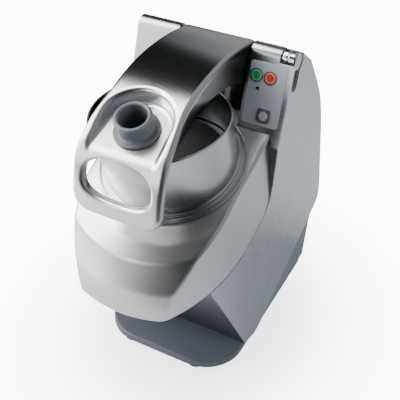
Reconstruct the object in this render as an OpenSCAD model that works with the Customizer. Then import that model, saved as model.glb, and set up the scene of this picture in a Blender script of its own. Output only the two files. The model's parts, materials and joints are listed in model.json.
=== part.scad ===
// Counter-top vegetable cutting machine. A cutting disc turns on an axis that leans forward
// over a wedge-shaped base. A feed head with a round hopper closes the disc chamber, and a
// curved lever with a pusher plate presses the food down. Lengths are in millimetres, the
// front faces -Y and the origin is on the table under the centre of the machine.

/* [Machine] */
// Overall width across the side panels
machine_w = 252; // [246:1:260]
// Forward lean of the disc axis from vertical, in degrees
tilt = 20; // [19:0.25:21]
// Height of the hopper seat above the table, on the disc axis
seat_z = 358; // [354:1:364]
// Reach of the casing behind the disc axis at seat level
rear_reach = 316; // [308:1:326]
// Thickness of the casing sheet
sheet = 2; // [1.5:0.1:2.5]
// Width of the slit between the feed head and the casing
slit_gap = 2; // [1.2:0.1:3]

/* [Column] */
// Distance of the hinge axis behind the disc axis at seat level
hinge_y = 133; // [130:1:136]
// Height of the hinge axis
hinge_z = 487; // [483:1:491]
// Outer radius of the rolled column top and of the lever hub
roll_r = 15; // [14:0.25:16]
// Lean of the column face from vertical, in degrees
face_lean = 17; // [16:0.25:18]
// Half the width of the gap between the two pillars
gap_half = 58.5; // [58:0.25:62]
// Thickness of the gap's side and back walls
liner_t = 2; // [1.5:0.1:2.5]

/* [Feed head] */
// Radius of the hood's front lip about the disc axis
hood_r = 205; // [200:1:210]
// Depth of the hood below the hopper seat
hood_depth = 96; // [92:1:100]
// Thickness of the hood's wall
hood_t = 2.5; // [2:0.1:3]
// Inward slope of the hood's side bands, per unit of height
band_slope = 0.15; // [0.12:0.01:0.16]
// Plan radius with which the sides draw in toward the front
side_r = 233; // [225:1:245]
// Distance in front of the disc axis where the sides start to draw in
side_start = 40; // [34:1:46]

/* [Hopper] */
// Outer radius of the hopper tube
hopper_r = 94.4; // [94:0.1:95]
// Wall of the hopper tube
hopper_t = 1.5; // [1.2:0.1:1.8]
// Height of the rim above the seat, on the disc axis
rim_h = 101; // [98:1:104]
// Slope of the rim against the seat, in degrees
rim_slope = 17.5; // [17:0.25:18]
// Height of the lowered front of the rim, where the lever passes over it
rim_front_h = 117; // [115:0.5:118]
// Outer radius of the ring round the hopper's foot
ring_r = 107.5; // [106.5:0.25:108]
// Height of the ring round the hopper's foot
ring_h = 3.5; // [3:0.25:4]

/* [Lever] */
// Reach of the lever in front of the hinge axis
lever_reach = 283; // [279:1:287]
// Rise of the lever's arch above the hinge axis
crest_h = 23; // [21:0.5:25]
// Drop of the handle's end below the hinge axis
lever_drop = 135; // [131:1:138]
// Half width of the lever at the hinge
lever_half = 57; // [56:0.25:57.25]
// Half width of the lever at the handle
grip_half = 66; // [64:0.5:68]
// Wall of the lever
lever_t = 3; // [2.6:0.1:3.2]
// Half width of the handle's finger opening
finger_half = 50; // [47:0.5:51]
// Half height of the handle's finger opening
finger_half_h = 27; // [25:0.5:28]
// Depth of the recess floor below the highest part of the lever's arch
recess_depth = 21; // [19:0.25:21.5]
// Radius of the recess round the vegetable tube
recess_r = 51; // [49:0.5:52]

/* [Vegetable tube and pusher] */
// Distance of the vegetable tube's axis in front of the disc axis
tube_offset = 50; // [48:0.5:51]
// Inner radius of the vegetable tube
tube_r = 27.5; // [26:0.25:28]
// Wall of the vegetable tube
tube_t = 2; // [1.6:0.1:2.2]
// Radius of the round pusher plate
plate_r = 78; // [76:0.5:78.5]
// Thickness of the pusher plate
plate_t = 6; // [5:0.25:7]
// Sliding clearance of the cup pusher in the vegetable tube
cup_gap = 0.4; // [0.3:0.05:0.6]
// Radius of the cup pusher's flange
cup_flange_r = 31; // [30.5:0.25:33]
// Radius of the cup pusher's rim
cup_rim_r = 25.3; // [24:0.1:26]
// Height of the cup pusher's rim above its flange
cup_h = 29; // [26:0.5:32]

/* [Cutting disc and chamber] */
// Radius of the cutting disc
disc_r = 101; // [99:0.5:102]
// Thickness of the cutting disc
disc_t = 3; // [2.5:0.1:3.5]
// Depth of the disc's top below the hopper seat
disc_drop = 12; // [11.5:0.25:14]
// Inner radius of the disc chamber
bowl_r = 104; // [103.5:0.25:104.5]
// Wall of the disc chamber
bowl_t = 3; // [2.5:0.1:3]
// Depth of the chamber floor below the hopper seat
bowl_depth = 58; // [56:1:62]
// Number of slicing blades
blade_count = 2; // [2:1:3]
// Radius of the disc shaft
shaft_r = 10; // [9:0.5:11]

/* [Drive] */
// Distance of the motor axis behind the disc axis
motor_offset = 115; // [112:1:118]
// Radius of the motor's body
motor_r = 62; // [58:1:64]
// Length of the motor's body
motor_len = 120; // [110:1:126]
// Depth of the belt's middle below the hopper seat
belt_drop = 142; // [140:1:146]
// Radius of the driven pulley
driven_r = 60; // [56:1:64]
// Radius of the motor pulley
pinion_r = 15; // [14:0.5:17]
// Width of the belt
belt_w = 14; // [12:0.5:16]
// Thickness of the belt
belt_t = 3; // [2.5:0.1:3.5]

/* [Base] */
// Inset of the base plate's sides from the side panels
base_inset = 8; // [4:0.5:12]
// Reach of the base plate in front of the disc axis
base_front = 49; // [46:1:54]
// Reach of the base plate behind the disc axis
base_rear = 288; // [284:1:292]
// Radius of the base plate's front corners
base_corner_r = 66; // [60:1:70]
// Thickness of the base plate
base_t = 12; // [10:0.5:13]
// Height of the rubber feet
foot_h = 4; // [3.5:0.25:5]
// Radius of the rubber feet
foot_r = 15; // [13:0.5:17]

/* [Controls] */
// Radius of the start and stop buttons
button_r = 8; // [7.5:0.1:8.5]
// Half width of the pulse button
pulse_half = 9.5; // [8.5:0.25:10]
// How far the buttons stand out of the control panel
button_out = 1.6; // [1.5:0.1:2]
// Thickness of the control panel
panel_t = 1.6; // [1.2:0.1:2]

/* [Hinge pin] */
// Radius of the hinge pin
pin_r = 6; // [5.5:0.1:6.5]
// Running clearance of the hinge pin
pin_gap = 0.06; // [0.04:0.01:0.09]
// Radius of the pin's grip
pin_grip_r = 14; // [13:0.25:14.5]
// Length of the pin's grip
pin_grip_len = 22; // [20:0.5:23]

/* [Hidden] */

// Overrun of every cut past the face that it starts from
over = 1;
// Reach of cutting shapes that only have to be larger than the machine
far = 400;
round_fn = 96;
small_fn = 48;
$fn = round_fn;

half_w = machine_w / 2;
hinge = [hinge_y, hinge_z];
inner_half = half_w - sheet;

// Side view point from a distance behind the disc axis and a height above the seat
function seat_point(s, h) = [s * cos(tilt) - h * sin(tilt), seat_z + s * sin(tilt) + h * cos(tilt)];
function height_over_seat(p) = -p[0] * sin(tilt) + (p[1] - seat_z) * cos(tilt);
function along_seat(p) = p[0] * cos(tilt) + (p[1] - seat_z) * sin(tilt);
function arc(c, r, a0, a1, n = 16) =
    [for (i = [0:n]) c + r * [cos(a0 + (a1 - a0) * i / n), sin(a0 + (a1 - a0) * i / n)]];
function cubic(a, b, c, d, t) =
    (2 * b + (c - a) * t + (2 * a - 5 * b + 4 * c - d) * pow(t, 2)
    + (3 * b - a - 3 * c + d) * pow(t, 3)) / 2;
// Smooth curve through a list of points, with n steps between neighbours
function curve(p, n = 6) = [for (i = [0:len(p) - 2], k = [0:n - 1])
    cubic(p[max(i - 1, 0)], p[i], p[i + 1], p[min(i + 2, len(p) - 1)], k / n), p[len(p) - 1]];
function reversed(p) = [for (i = [len(p) - 1:-1:0]) p[i]];
function unit(v) = v / norm(v);
function left_of(v) = [-v[1], v[0]];
// Outline moved inward by d, for points that run counter-clockwise
function inset(p, d) = [for (i = [0:len(p) - 1]) let (
    before = left_of(unit(p[i] - p[(i + len(p) - 1) % len(p)])),
    after = left_of(unit(p[(i + 1) % len(p)] - p[i])),
    m = before + after) p[i] + m * 2 * d / (m * m)];

front_y = -hood_r * cos(tilt) + hood_depth * sin(tilt);
centre_y = (rear_reach + front_y) / 2;

// Column face: it leaves the roll as a tangent and runs down to the hood
face_top = hinge + roll_r * [-cos(face_lean), sin(face_lean)];
face_dir = [-sin(face_lean), -cos(face_lean)];
function face_run(h) = (height_over_seat(face_top) - h) / cos(face_lean + tilt);
function face_point(run) = face_top + face_dir * run;

// Casing outline in the side view
deck_h = -(hood_depth + slit_gap);
floor_z = foot_h + base_t;
front_foot = [27, floor_z];
front_top_s = -128;
lower_start_y = 55;
lower_angle = 21;
rear_corner_r = 24;
rear_corner_end = -8;
rear_low_z = 146;
rear_shares = [[1, 0], [0.978, 0.078], [0.87, 0.291], [0.75, 0.518], [0.6, 0.686], [0.29, 0.9]];
slit_top_share = 0.163;
slit_shares = [[0.62, 0.755], [0.43, 0.93], [0.2, 1]];
column_top_z = hinge_z + roll_r;
roll_back_angle = 62;

slit_top = face_point(face_run(deck_h * slit_top_share));
slit_s = along_seat(slit_top);
slit_curve = curve(concat([slit_top], [for (q = slit_shares) seat_point(q[0] * slit_s, q[1] * deck_h)]));
rear_curve = curve([for (q = rear_shares) [hinge_y + (rear_reach - hinge_y) * q[0],
    rear_low_z + (column_top_z - rear_low_z) * q[1]]]);
rear_corner = [rear_reach - rear_corner_r, rear_low_z];
casing_outline = concat(
    [front_foot, [lower_start_y, floor_z]],
    arc(rear_corner, rear_corner_r, lower_angle - 90, rear_corner_end, 10),
    rear_curve,
    arc(hinge, roll_r, roll_back_angle, 180 - face_lean, 12),
    slit_curve,
    [seat_point(front_top_s, deck_h)]);

module placed() {
    translate([0, -centre_y, 0]) children();
}
module tilted() {
    placed() translate([0, 0, seat_z]) rotate([tilt, 0, 0]) children();
}
// A side view outline made into a solid between two distances from the middle
module slab(x0, x1) {
    placed() translate([x0, 0, 0]) rotate([90, 0, 90]) linear_extrude(x1 - x0) children();
}
module both_sides() {
    children();
    mirror([1, 0, 0]) children();
}
module ring(outer, inner, height) {
    difference() {
        cylinder(r = outer, h = height);
        translate([0, 0, -over]) cylinder(r = inner, h = height + 2 * over);
    }
}
// A round bar along X, centred on a side view point
module x_bar(p, r, x0, x1) {
    placed() translate([x0, p[0], p[1]]) rotate([0, 90, 0]) cylinder(r = r, h = x1 - x0);
}
// Plan shape of the machine: flat sides that draw in toward the front
module plan_solid(gap, h0, h1, slope = 0) {
    side_x = half_w - gap - slope * (h0 + hood_depth);
    top_x = half_w - gap - slope * (h1 + hood_depth);
    tilted() {
        translate([0, -side_start, h0]) rotate([90, 0, 0]) mirror([0, 0, 1])
            linear_extrude(far)
            polygon([[-side_x, 0], [side_x, 0], [top_x, h1 - h0], [-top_x, h1 - h0]]);
        intersection_for (side = [-1, 1])
            intersection() {
                translate([side * (half_w - side_r), -side_start, h0])
                    cylinder(r1 = side_r - half_w + side_x, r2 = side_r - half_w + top_x,
                        h = h1 - h0, $fn = 2 * round_fn);
                translate([-half_w, -side_start - far, h0]) cube([machine_w, far, h1 - h0]);
            }
    }
}
casing_low_h = -380;
casing_high_h = 200;
module casing_plan(gap) {
    plan_solid(gap, casing_low_h, casing_high_h);
}
// The casing sheet between the side panels, all round its outline
module casing_band() {
    intersection() {
        difference() {
            slab(-half_w, half_w) polygon(casing_outline);
            slab(-half_w - over, half_w + over) polygon(inset(casing_outline, sheet));
        }
        casing_plan(sheet);
    }
}
module side_sheet() {
    intersection() {
        slab(-half_w, half_w) polygon(casing_outline);
        difference() {
            casing_plan(0);
            casing_plan(sheet);
        }
        translate([0, -far, 0]) cube([far, 2 * far, 2 * far]);
    }
}

// Base
base_half = half_w - base_inset;
foot_x = base_half - 58;
foot_rear_x = base_half - 26;
foot_front_y = -32;
foot_rear_y = 258;
foot_places = [[-foot_x, foot_front_y], [foot_x, foot_front_y],
    [-foot_rear_x, foot_rear_y], [foot_rear_x, foot_rear_y]];
foot_screw_r = 2.5;
foot_bore_r = 2.6;
rear_base_corner_r = 16;
base_rib = 2;
base_floor_t = 4;
tray_inset = 6;
module base_outline(gap) {
    corner = base_corner_r - gap;
    back = rear_base_corner_r - gap;
    half = base_half - gap;
    front = -base_front + gap;
    rear = base_rear - gap;
    translate([-half, front + corner]) square([2 * half, rear - front - corner - back]);
    translate([-half + corner, front]) square([2 * (half - corner), corner]);
    translate([-half + back, rear - back]) square([2 * (half - back), back]);
    for (side = [-1, 1]) {
        translate([side * (half - corner), front + corner]) circle(r = corner);
        translate([side * (half - back), rear - back]) circle(r = back);
    }
}
module base_plate() {
    color([0.25, 0.28, 0.33]) placed() translate([0, 0, foot_h]) difference() {
        union() {
            linear_extrude(base_t - base_rib) base_outline(0);
            linear_extrude(base_t) base_outline(base_rib);
        }
        translate([0, 0, -over]) linear_extrude(base_t - base_floor_t + over) difference() {
            base_outline(tray_inset);
            for (p = foot_places) translate(p) circle(r = foot_r);
            for (p = base_screw_places) translate(p) circle(r = screw_boss_r);
        }
        for (p = foot_places)
            translate([p[0], p[1], -over]) cylinder(r = foot_bore_r, h = base_t - base_floor_t + over, $fn = small_fn);
        for (p = base_screw_places)
            translate([p[0], p[1], -over]) cylinder(r = screw_r + screw_gap, h = base_t + 2 * over, $fn = small_fn);
    }
}
foot_dish_r = 9;
foot_dish = 1.2;
module rubber_feet() {
    color([0.12, 0.12, 0.13]) placed() for (p = foot_places) translate(p) {
        difference() {
            cylinder(r = foot_r, h = foot_h);
            translate([0, 0, -over]) cylinder(r = foot_dish_r, h = foot_dish + over);
        }
        translate([0, 0, foot_h]) cylinder(r = foot_screw_r, h = base_t - base_floor_t, $fn = small_fn);
    }
}
wedge_inset = 6;
wedge_half = half_w - wedge_inset;
wedge_wall = 3;
wedge_front_y = 64;
wedge_rear_low = 284;
wedge_rear_high = 304;
lower_dir = [cos(lower_angle), sin(lower_angle)];
lower_end = rear_corner + rear_corner_r * [sin(lower_angle), -cos(lower_angle)];
lower_slope = (lower_end[1] - floor_z) / (lower_end[0] - lower_start_y);
function lower_z(y) = floor_z + lower_slope * (y - lower_start_y);
module wedge_outline(gap) {
    polygon([[wedge_front_y + gap, floor_z - (gap > 0 ? over : 0)],
        [wedge_rear_low - gap, floor_z - (gap > 0 ? over : 0)],
        [wedge_rear_high - gap, lower_z(wedge_rear_high) + (gap > 0 ? over : 0)],
        [wedge_front_y + gap, lower_z(wedge_front_y) + (gap > 0 ? over : 0)]]);
}
module base_wedge() {
    color([0.3, 0.33, 0.37]) difference() {
        union() {
            difference() {
                slab(-wedge_half, wedge_half) wedge_outline(0);
                slab(-wedge_half + wedge_wall, wedge_half - wedge_wall) wedge_outline(wedge_wall);
            }
            placed() for (p = base_screw_places) translate([p[0], p[1], floor_z]) {
                cylinder(r = screw_boss_r, h = screw_len + screw_r);
                translate([p[0] > 0 ? 0 : -wedge_half + base_screw_x, -wedge_wall / 2, 0])
                    cube([wedge_half - base_screw_x, wedge_wall, screw_len + screw_r]);
            }
        }
        placed() for (p = base_screw_places)
            translate([p[0], p[1], floor_z - over]) cylinder(r = screw_r, h = screw_len + over, $fn = small_fn);
        placed() translate([gland_x, wedge_rear_high, gland_z]) rotate([90, 0, 0])
            cylinder(r = gland_r, h = far / 4, $fn = small_fn, center = true);
    }
}

// Casing
screw_r = 2;
screw_gap = 0.3;
screw_head_r = 3.8;
screw_head_h = 2.2;
screw_len = 8;
screw_boss_r = 6;
base_screw_inset = 16;
base_screw_x = wedge_half - base_screw_inset;
base_screw_front = 100;
base_screw_rear = 236;
base_screw_places = [[-base_screw_x, base_screw_front], [base_screw_x, base_screw_front],
    [-base_screw_x, base_screw_rear], [base_screw_x, base_screw_rear]];
cup_len = 44;
cup_half = 10;
cup_depth = 11;
cup_wall = 1.5;
// Outline of the finger scoop below the pin's grip, in the side view
module scoop_outline(gap) {
    translate(hinge) circle(r = roll_r - gap + cup_wall);
    translate(hinge) rotate(-face_lean) translate([-cup_half + gap, -cup_len + cup_half])
        square([2 * (cup_half - gap), cup_len - cup_half]);
    translate(hinge) rotate(-face_lean) translate([0, -cup_len + cup_half]) circle(r = cup_half - gap);
}
module right_side_panel() {
    color([0.72, 0.75, 0.78]) difference() {
        side_sheet();
        slab(inner_half - over, half_w + over) scoop_outline(0);
    }
}
module left_side_panel() {
    color([0.72, 0.75, 0.78]) mirror([1, 0, 0]) side_sheet();
}
front_zone_y = 26;
module front_panel() {
    color([0.62, 0.65, 0.68]) intersection() {
        casing_band();
        slab(-half_w, half_w) polygon([front_foot + [lower_start_y - front_foot[0], -over],
            front_foot + [lower_start_y - front_foot[0], sheet],
            front_foot + [sheet, sheet], seat_point(front_top_s + sheet, deck_h - sheet),
            seat_point(front_top_s - far / 8, deck_h + over), front_foot + [-far / 8, -over]]);
    }
}
rear_split_y = 158;
vent_count = 9;
vent_pitch = 14;
vent_len = 90;
vent_w = 5;
vent_z = 200;
module rear_cover() {
    color([0.66, 0.69, 0.72]) difference() {
        intersection() {
            casing_band();
            placed() translate([-half_w, rear_split_y, 0])
                cube([machine_w, far, column_top_z]);
        }
        at_rear_screws() translate([0, 0, -screw_len])
            cylinder(r = screw_r + screw_gap, h = 2 * screw_len, $fn = small_fn);
        for (i = [0:vent_count - 1])
            placed() translate([-vent_len / 2, rear_split_y + far / 10, vent_z + (i - vent_count / 2) * vent_pitch])
                cube([vent_len, far, vent_w]);
        slab(-far, far) polygon([[lower_start_y, floor_z - over], [far, floor_z - over],
            [far, lower_z(far)], [rear_reach, lower_z(rear_reach)]]);
        placed() translate([gland_x, rear_reach, gland_z]) rotate([90, 0, 0])
            cylinder(r = gland_r, h = far / 4, $fn = small_fn, center = true);
    }
}
deck_hole_r = 44;
module deck_plate() {
    color([0.6, 0.62, 0.64]) difference() {
        intersection() {
            slab(-half_w, half_w) polygon([seat_point(front_top_s + 2 * sheet, deck_h - sheet),
                seat_point(liner_s, deck_h - sheet), seat_point(liner_s, deck_h),
                seat_point(front_top_s + 2 * sheet, deck_h)]);
            casing_plan(sheet);
        }
        tilted() translate([0, 0, deck_h - over - sheet]) cylinder(r = deck_hole_r, h = sheet + 2 * over);
        tilted() translate([-chute_half - chute_t, -far, deck_h - over - sheet])
            cube([2 * (chute_half + chute_t), far - chute_s, sheet + 2 * over]);
    }
}
// Path of the gap's back wall in the side view, from behind the lever hub to the deck
liner_s = 124;
liner_top = [157, 481];
liner_bend = [148, 455];
liner_path = [liner_top, liner_bend, seat_point(liner_s, ring_h * 2), seat_point(liner_s, deck_h)];
wall_front_s = 60;
module pillar_wall() {
    difference() {
        slab(gap_half, gap_half + liner_t) intersection() {
            polygon(casing_outline);
            polygon(concat([liner_top + [0, far]], liner_path,
                [seat_point(wall_front_s, deck_h), seat_point(wall_front_s, far)]));
        }
        x_bar(hinge, bush_r, 0, half_w);
    }
}
module pillar() {
    difference() {
        union() {
            intersection() {
                casing_band();
                placed() translate([gap_half, 0, 0]) cube([far, rear_split_y, 2 * far]);
                slab(gap_half, half_w) polygon([seat_point(slit_s * slit_shares[2][0], deck_h),
                    seat_point(far, deck_h), [far, far * 2], [-far, far * 2]]);
            }
            pillar_wall();
        }
        tilted() translate([0, 0, deck_h - over]) cylinder(r = bowl_r + bowl_t + over, h = -deck_h + ring_h);
    }
}
module right_pillar() {
    color([0.75, 0.77, 0.79]) difference() {
        pillar();
        x_bar(hinge, roll_r + over, half_w - pin_grip_len - over, half_w + over);
        face_frame() translate([0, 0, -sheet - over]) linear_extrude(2 * sheet + 2 * over) {
            for (x = [start_x, stop_x]) translate([x, button_row]) circle(r = button_r + button_gap);
            translate([pulse_x, pulse_row]) square(2 * (pulse_half + button_gap), center = true);
            translate([lens_x, lens_row]) circle(r = lens_r, $fn = small_fn);
        }
    }
}
module left_pillar() {
    color([0.75, 0.77, 0.79]) mirror([1, 0, 0]) pillar();
}
module gap_liner() {
    path = concat(liner_path, reversed([for (p = liner_path) p + [liner_t, 0]]));
    color([0.1, 0.1, 0.11]) slab(-gap_half, gap_half) polygon(reversed(path));
}
// Cup behind the scoop, in which fingers reach the pin's grip
module pin_grip_cup() {
    color([0.5, 0.53, 0.56]) difference() {
        intersection() {
            slab(half_w - pin_grip_len - cup_wall, half_w - sheet) scoop_outline(0);
            slab(-far, far) polygon(inset(casing_outline, sheet));
        }
        slab(half_w - pin_grip_len, half_w) scoop_outline(cup_wall);
        x_bar(hinge, pin_r + pin_gap, 0, half_w);
    }
}
bush_r = 10;
bush_len = 9;
module hinge_bushes() {
    color([0.8, 0.66, 0.4]) both_sides() difference() {
        x_bar(hinge, bush_r, gap_half, gap_half + bush_len);
        x_bar(hinge, pin_r + pin_gap, gap_half - over, gap_half + bush_len + over);
    }
}

// Disc chamber and outlet
chute_half = 74;
chute_s = 62;
chute_t = 2;
chute_front = 34;
seal_top = -hood_t - 0.3;
seal_lip = 1;
bowl_top = -6;
housing_r = 30;
module disc_chamber() {
    color([0.66, 0.68, 0.7]) tilted() difference() {
        union() {
            translate([0, 0, deck_h]) ring(bowl_r + bowl_t, bowl_r, bowl_top - deck_h);
            translate([0, 0, -bowl_depth - bowl_t]) cylinder(r = bowl_r + over / 2, h = bowl_t);
        }
        translate([0, 0, -bowl_depth - bowl_t - over]) cylinder(r = housing_r, h = bowl_t + 2 * over);
        translate([-chute_half, -far, deck_h - over])
            cube([2 * chute_half, far - chute_s, bowl_top - deck_h + 2 * over]);
    }
}
module chamber_seal() {
    color([0.15, 0.15, 0.16]) tilted() difference() {
        translate([0, 0, bowl_top]) ring(bowl_r + bowl_t, bowl_r + seal_lip, seal_top - bowl_top);
        translate([-chute_half, -far, bowl_top - over])
            cube([2 * chute_half, far - chute_s, seal_top - bowl_top + 2 * over]);
    }
}
// Tray that leads the slices from the chamber down in front of the casing
chute_drop = 26;
module discharge_chute() {
    profile = [[-chute_s, -bowl_depth], [-chute_s - chute_front, -bowl_depth - chute_drop],
        [-chute_s - 2 * chute_front, deck_h + chute_t + screw_gap]];
    inner = [for (p = profile) p - [0, chute_t]];
    side = concat(inner, [[-chute_s - 2 * chute_front, deck_h + 3 * chute_t], [-chute_s, 3 * chute_t - bowl_depth]]);
    color([0.7, 0.72, 0.74]) tilted() {
        translate([-chute_half, 0, 0]) rotate([90, 0, 90]) linear_extrude(2 * chute_half)
            polygon(concat(profile, reversed(inner)));
        both_sides() translate([chute_half - chute_t, 0, 0]) rotate([90, 0, 90])
            linear_extrude(chute_t) polygon(side);
    }
}
bearing_r = 21;
bearing_w = 12;
housing_low = -116;
housing_wall = 5;
housing_lip = 3;
module bearing_housing() {
    color([0.6, 0.62, 0.64]) tilted() difference() {
        union() {
            translate([0, 0, housing_low]) cylinder(r = bearing_r + housing_wall, h = -bowl_depth - housing_low);
            translate([0, 0, -bowl_depth - bowl_t - housing_wall])
                cylinder(r = housing_r + 2 * housing_wall, h = housing_wall);
            translate([0, 0, -bowl_depth - bowl_t]) cylinder(r = housing_r, h = bowl_t);
        }
        translate([0, 0, housing_low - over]) cylinder(r = bearing_r, h = bearing_w + over);
        translate([0, 0, -bowl_depth - bearing_w]) cylinder(r = bearing_r, h = bearing_w + over);
        translate([0, 0, housing_low]) cylinder(r = bearing_r - housing_lip, h = -bowl_depth - housing_low);
    }
}
module bearing(outer, inner, width) {
    ball_r = (outer - inner) / 4;
    difference() {
        ring(outer, inner, width);
        translate([0, 0, width - ball_r / 2]) ring((outer + inner) / 2 + ball_r / 2,
            (outer + inner) / 2 - ball_r / 2, ball_r);
    }
}
module shaft_bearings() {
    color([0.82, 0.83, 0.85]) tilted() for (h = [housing_low, -bowl_depth - bearing_w])
        translate([0, 0, h]) bearing(bearing_r, shaft_r + pin_gap, bearing_w);
}

// Controls on the right pillar
panel_inset = 4.5;
panel_edge = 8;
panel_x0 = gap_half + panel_inset;
panel_x1 = half_w - panel_edge;
panel_top_run = 9;
panel_bottom_run = 99;
panel_corner_r = 4;
button_gap = 0.4;
start_x = panel_x0 + 11;
stop_x = start_x + 21;
pulse_x = stop_x;
lens_x = start_x + 5;
button_row = -29;
lens_row = -47;
pulse_row = -84;
lens_r = 2.2;
button_base = 1.8;
button_foot = 1;
foot_gap = 0.3;
foot_lip = 1.5;
pulse_corner = 2;
// Frame on the face of the right pillar: X across, Y up the face, Z out of it
module face_frame() {
    placed() translate([0, face_top[0], face_top[1]]) rotate([90 - face_lean, 0, 0]) children();
}
module rounded(x0, x1, y0, y1, r) {
    translate([x0, y0 + r]) square([x1 - x0, y1 - y0 - 2 * r]);
    translate([x0 + r, y0]) square([x1 - x0 - 2 * r, y1 - y0]);
    for (x = [x0 + r, x1 - r], y = [y0 + r, y1 - r]) translate([x, y]) circle(r = r, $fn = small_fn);
}
module control_panel() {
    color([0.53, 0.56, 0.6]) face_frame() linear_extrude(panel_t) difference() {
        rounded(panel_x0, panel_x1, -panel_bottom_run, -panel_top_run, panel_corner_r);
        for (x = [start_x, stop_x]) translate([x, button_row]) circle(r = button_r + button_gap);
        translate([pulse_x, pulse_row]) rounded(-pulse_half - button_gap, pulse_half + button_gap,
            -pulse_half - button_gap, pulse_half + button_gap, pulse_corner);
        translate([lens_x, lens_row]) circle(r = lens_r, $fn = small_fn);
    }
}
module status_lens() {
    color([0.1, 0.1, 0.1]) face_frame() translate([lens_x, lens_row, -sheet])
        cylinder(r = lens_r, h = panel_t + sheet + button_gap, $fn = small_fn);
}
button_travel = 1.2;
board_gap = 14;
board_t = 1.6;
board_low_run = 92;
board_high_run = 20;
board_x1 = 100;
post_r = 2.5;
board_posts = [[67, -46], [92, -50], [67, -86]];
module control_board() {
    color([0.1, 0.4, 0.2]) face_frame() translate([0, 0, -board_gap - board_t]) {
        translate([panel_x0, -board_low_run]) cube([board_x1 - panel_x0, board_low_run - board_high_run, board_t]);
        for (p = board_posts) translate([p[0], p[1], 0]) cylinder(r = post_r, h = board_gap + board_t - sheet, $fn = small_fn);
        for (p = [[start_x, button_row], [stop_x, button_row], [pulse_x, pulse_row]])
            translate([p[0] - button_base * 2, p[1] - button_base * 2, board_t])
                cube([button_base * 4, button_base * 4, board_gap - sheet - 3 * button_travel - button_foot]);
    }
}
module round_button(x) {
    face_frame() translate([x, button_row, 0]) {
        translate([0, 0, -sheet - foot_gap]) cylinder(r = button_r, h = sheet + foot_gap + panel_t);
        translate([0, 0, -sheet - foot_gap - button_foot]) cylinder(r = button_r + foot_lip, h = button_foot);
        translate([0, 0, panel_t]) cylinder(r1 = button_r, r2 = button_r - button_out / 2, h = button_out);
    }
}
module start_button() {
    color([0.2, 0.7, 0.35]) round_button(start_x);
}
module stop_button() {
    color([0.85, 0.22, 0.13]) round_button(stop_x);
}
module pulse_button() {
    color([0.8, 0.78, 0.78]) face_frame() translate([pulse_x, pulse_row, -sheet - foot_gap]) {
        linear_extrude(sheet + foot_gap + panel_t + button_out)
            rounded(-pulse_half, pulse_half, -pulse_half, pulse_half, pulse_corner);
        translate([0, 0, -button_foot / 2]) cube([2 * (pulse_half + foot_lip), 2 * (pulse_half + foot_lip), button_foot],
            center = true);
    }
}
sensor_size = [8, 8, 16];
sensor_reach = 17.5;
sensor_drop = 32;
module lever_sensor() {
    color([0.15, 0.15, 0.2]) placed() translate([-gap_half - liner_t - sensor_size[0],
        hinge_y - sensor_reach, hinge_z - sensor_drop]) cube(sensor_size);
}

// Motor and belt drive
motor_top = -belt_drop - belt_w;
motor_wall = 5;
motor_fin_count = 20;
motor_fin_h = 3;
motor_fin_w = 3;
motor_air = 1;
rotor_r = motor_r * 0.52;
stator_gap = 0.8;
motor_shaft_r = 7;
motor_bearing_r = 16;
motor_bearing_w = 10;
module at_motor() {
    tilted() translate([0, motor_offset, 0]) children();
}
module motor_housing() {
    low = motor_top - motor_len;
    color([0.35, 0.37, 0.4]) at_motor() difference() {
        union() {
            translate([0, 0, low]) cylinder(r = motor_r - motor_fin_h, h = motor_len);
            for (i = [0:motor_fin_count - 1]) rotate(360 * i / motor_fin_count)
                translate([motor_r - 2 * motor_fin_h, -motor_fin_w / 2, low + motor_wall])
                cube([2 * motor_fin_h, motor_fin_w, motor_len - 2 * motor_wall]);
        }
        translate([0, 0, low + motor_wall + motor_bearing_w])
            cylinder(r = rotor_r + stator_gap, h = motor_len - 2 * (motor_wall + motor_bearing_w));
        translate([0, 0, low + motor_wall]) cylinder(r = motor_bearing_r, h = motor_bearing_w + over);
        translate([0, 0, motor_top - motor_wall - motor_bearing_w - over])
            cylinder(r = motor_bearing_r, h = motor_bearing_w + over);
        translate([0, 0, low + motor_wall]) cylinder(r = motor_shaft_r + motor_air, h = motor_len);
        for (a = [45:90:315]) rotate(a) translate([motor_r - 4 * motor_fin_h, 0, motor_top - screw_len])
            cylinder(r = screw_r, h = screw_len + over, $fn = small_fn);
    }
}
module motor_bearings() {
    low = motor_top - motor_len;
    color([0.82, 0.83, 0.85]) at_motor()
        for (h = [low + motor_wall, motor_top - motor_wall - motor_bearing_w])
        translate([0, 0, h]) bearing(motor_bearing_r, motor_shaft_r + pin_gap, motor_bearing_w);
}
module motor_rotor() {
    color([0.5, 0.45, 0.4]) at_motor()
        translate([0, 0, motor_top - motor_len + motor_wall + motor_bearing_w + motor_air])
        ring(rotor_r, motor_shaft_r, motor_len - 2 * (motor_wall + motor_bearing_w + motor_air));
}
module motor_shaft() {
    low = motor_top - motor_len + motor_wall;
    color([0.75, 0.75, 0.77]) at_motor() translate([0, 0, low])
        cylinder(r = motor_shaft_r, h = -belt_drop + belt_w / 2 + over - low);
}
module motor_pulley() {
    color([0.7, 0.7, 0.72]) at_motor() translate([0, 0, -belt_drop - belt_w / 2 - over]) {
        ring(pinion_r, motor_shaft_r, belt_w + 2 * over);
        ring(pinion_r + belt_t, motor_shaft_r, over - belt_gap);
    }
}
bracket_t = 5;
bracket_half = 60;
bracket_back = 150;
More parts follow.
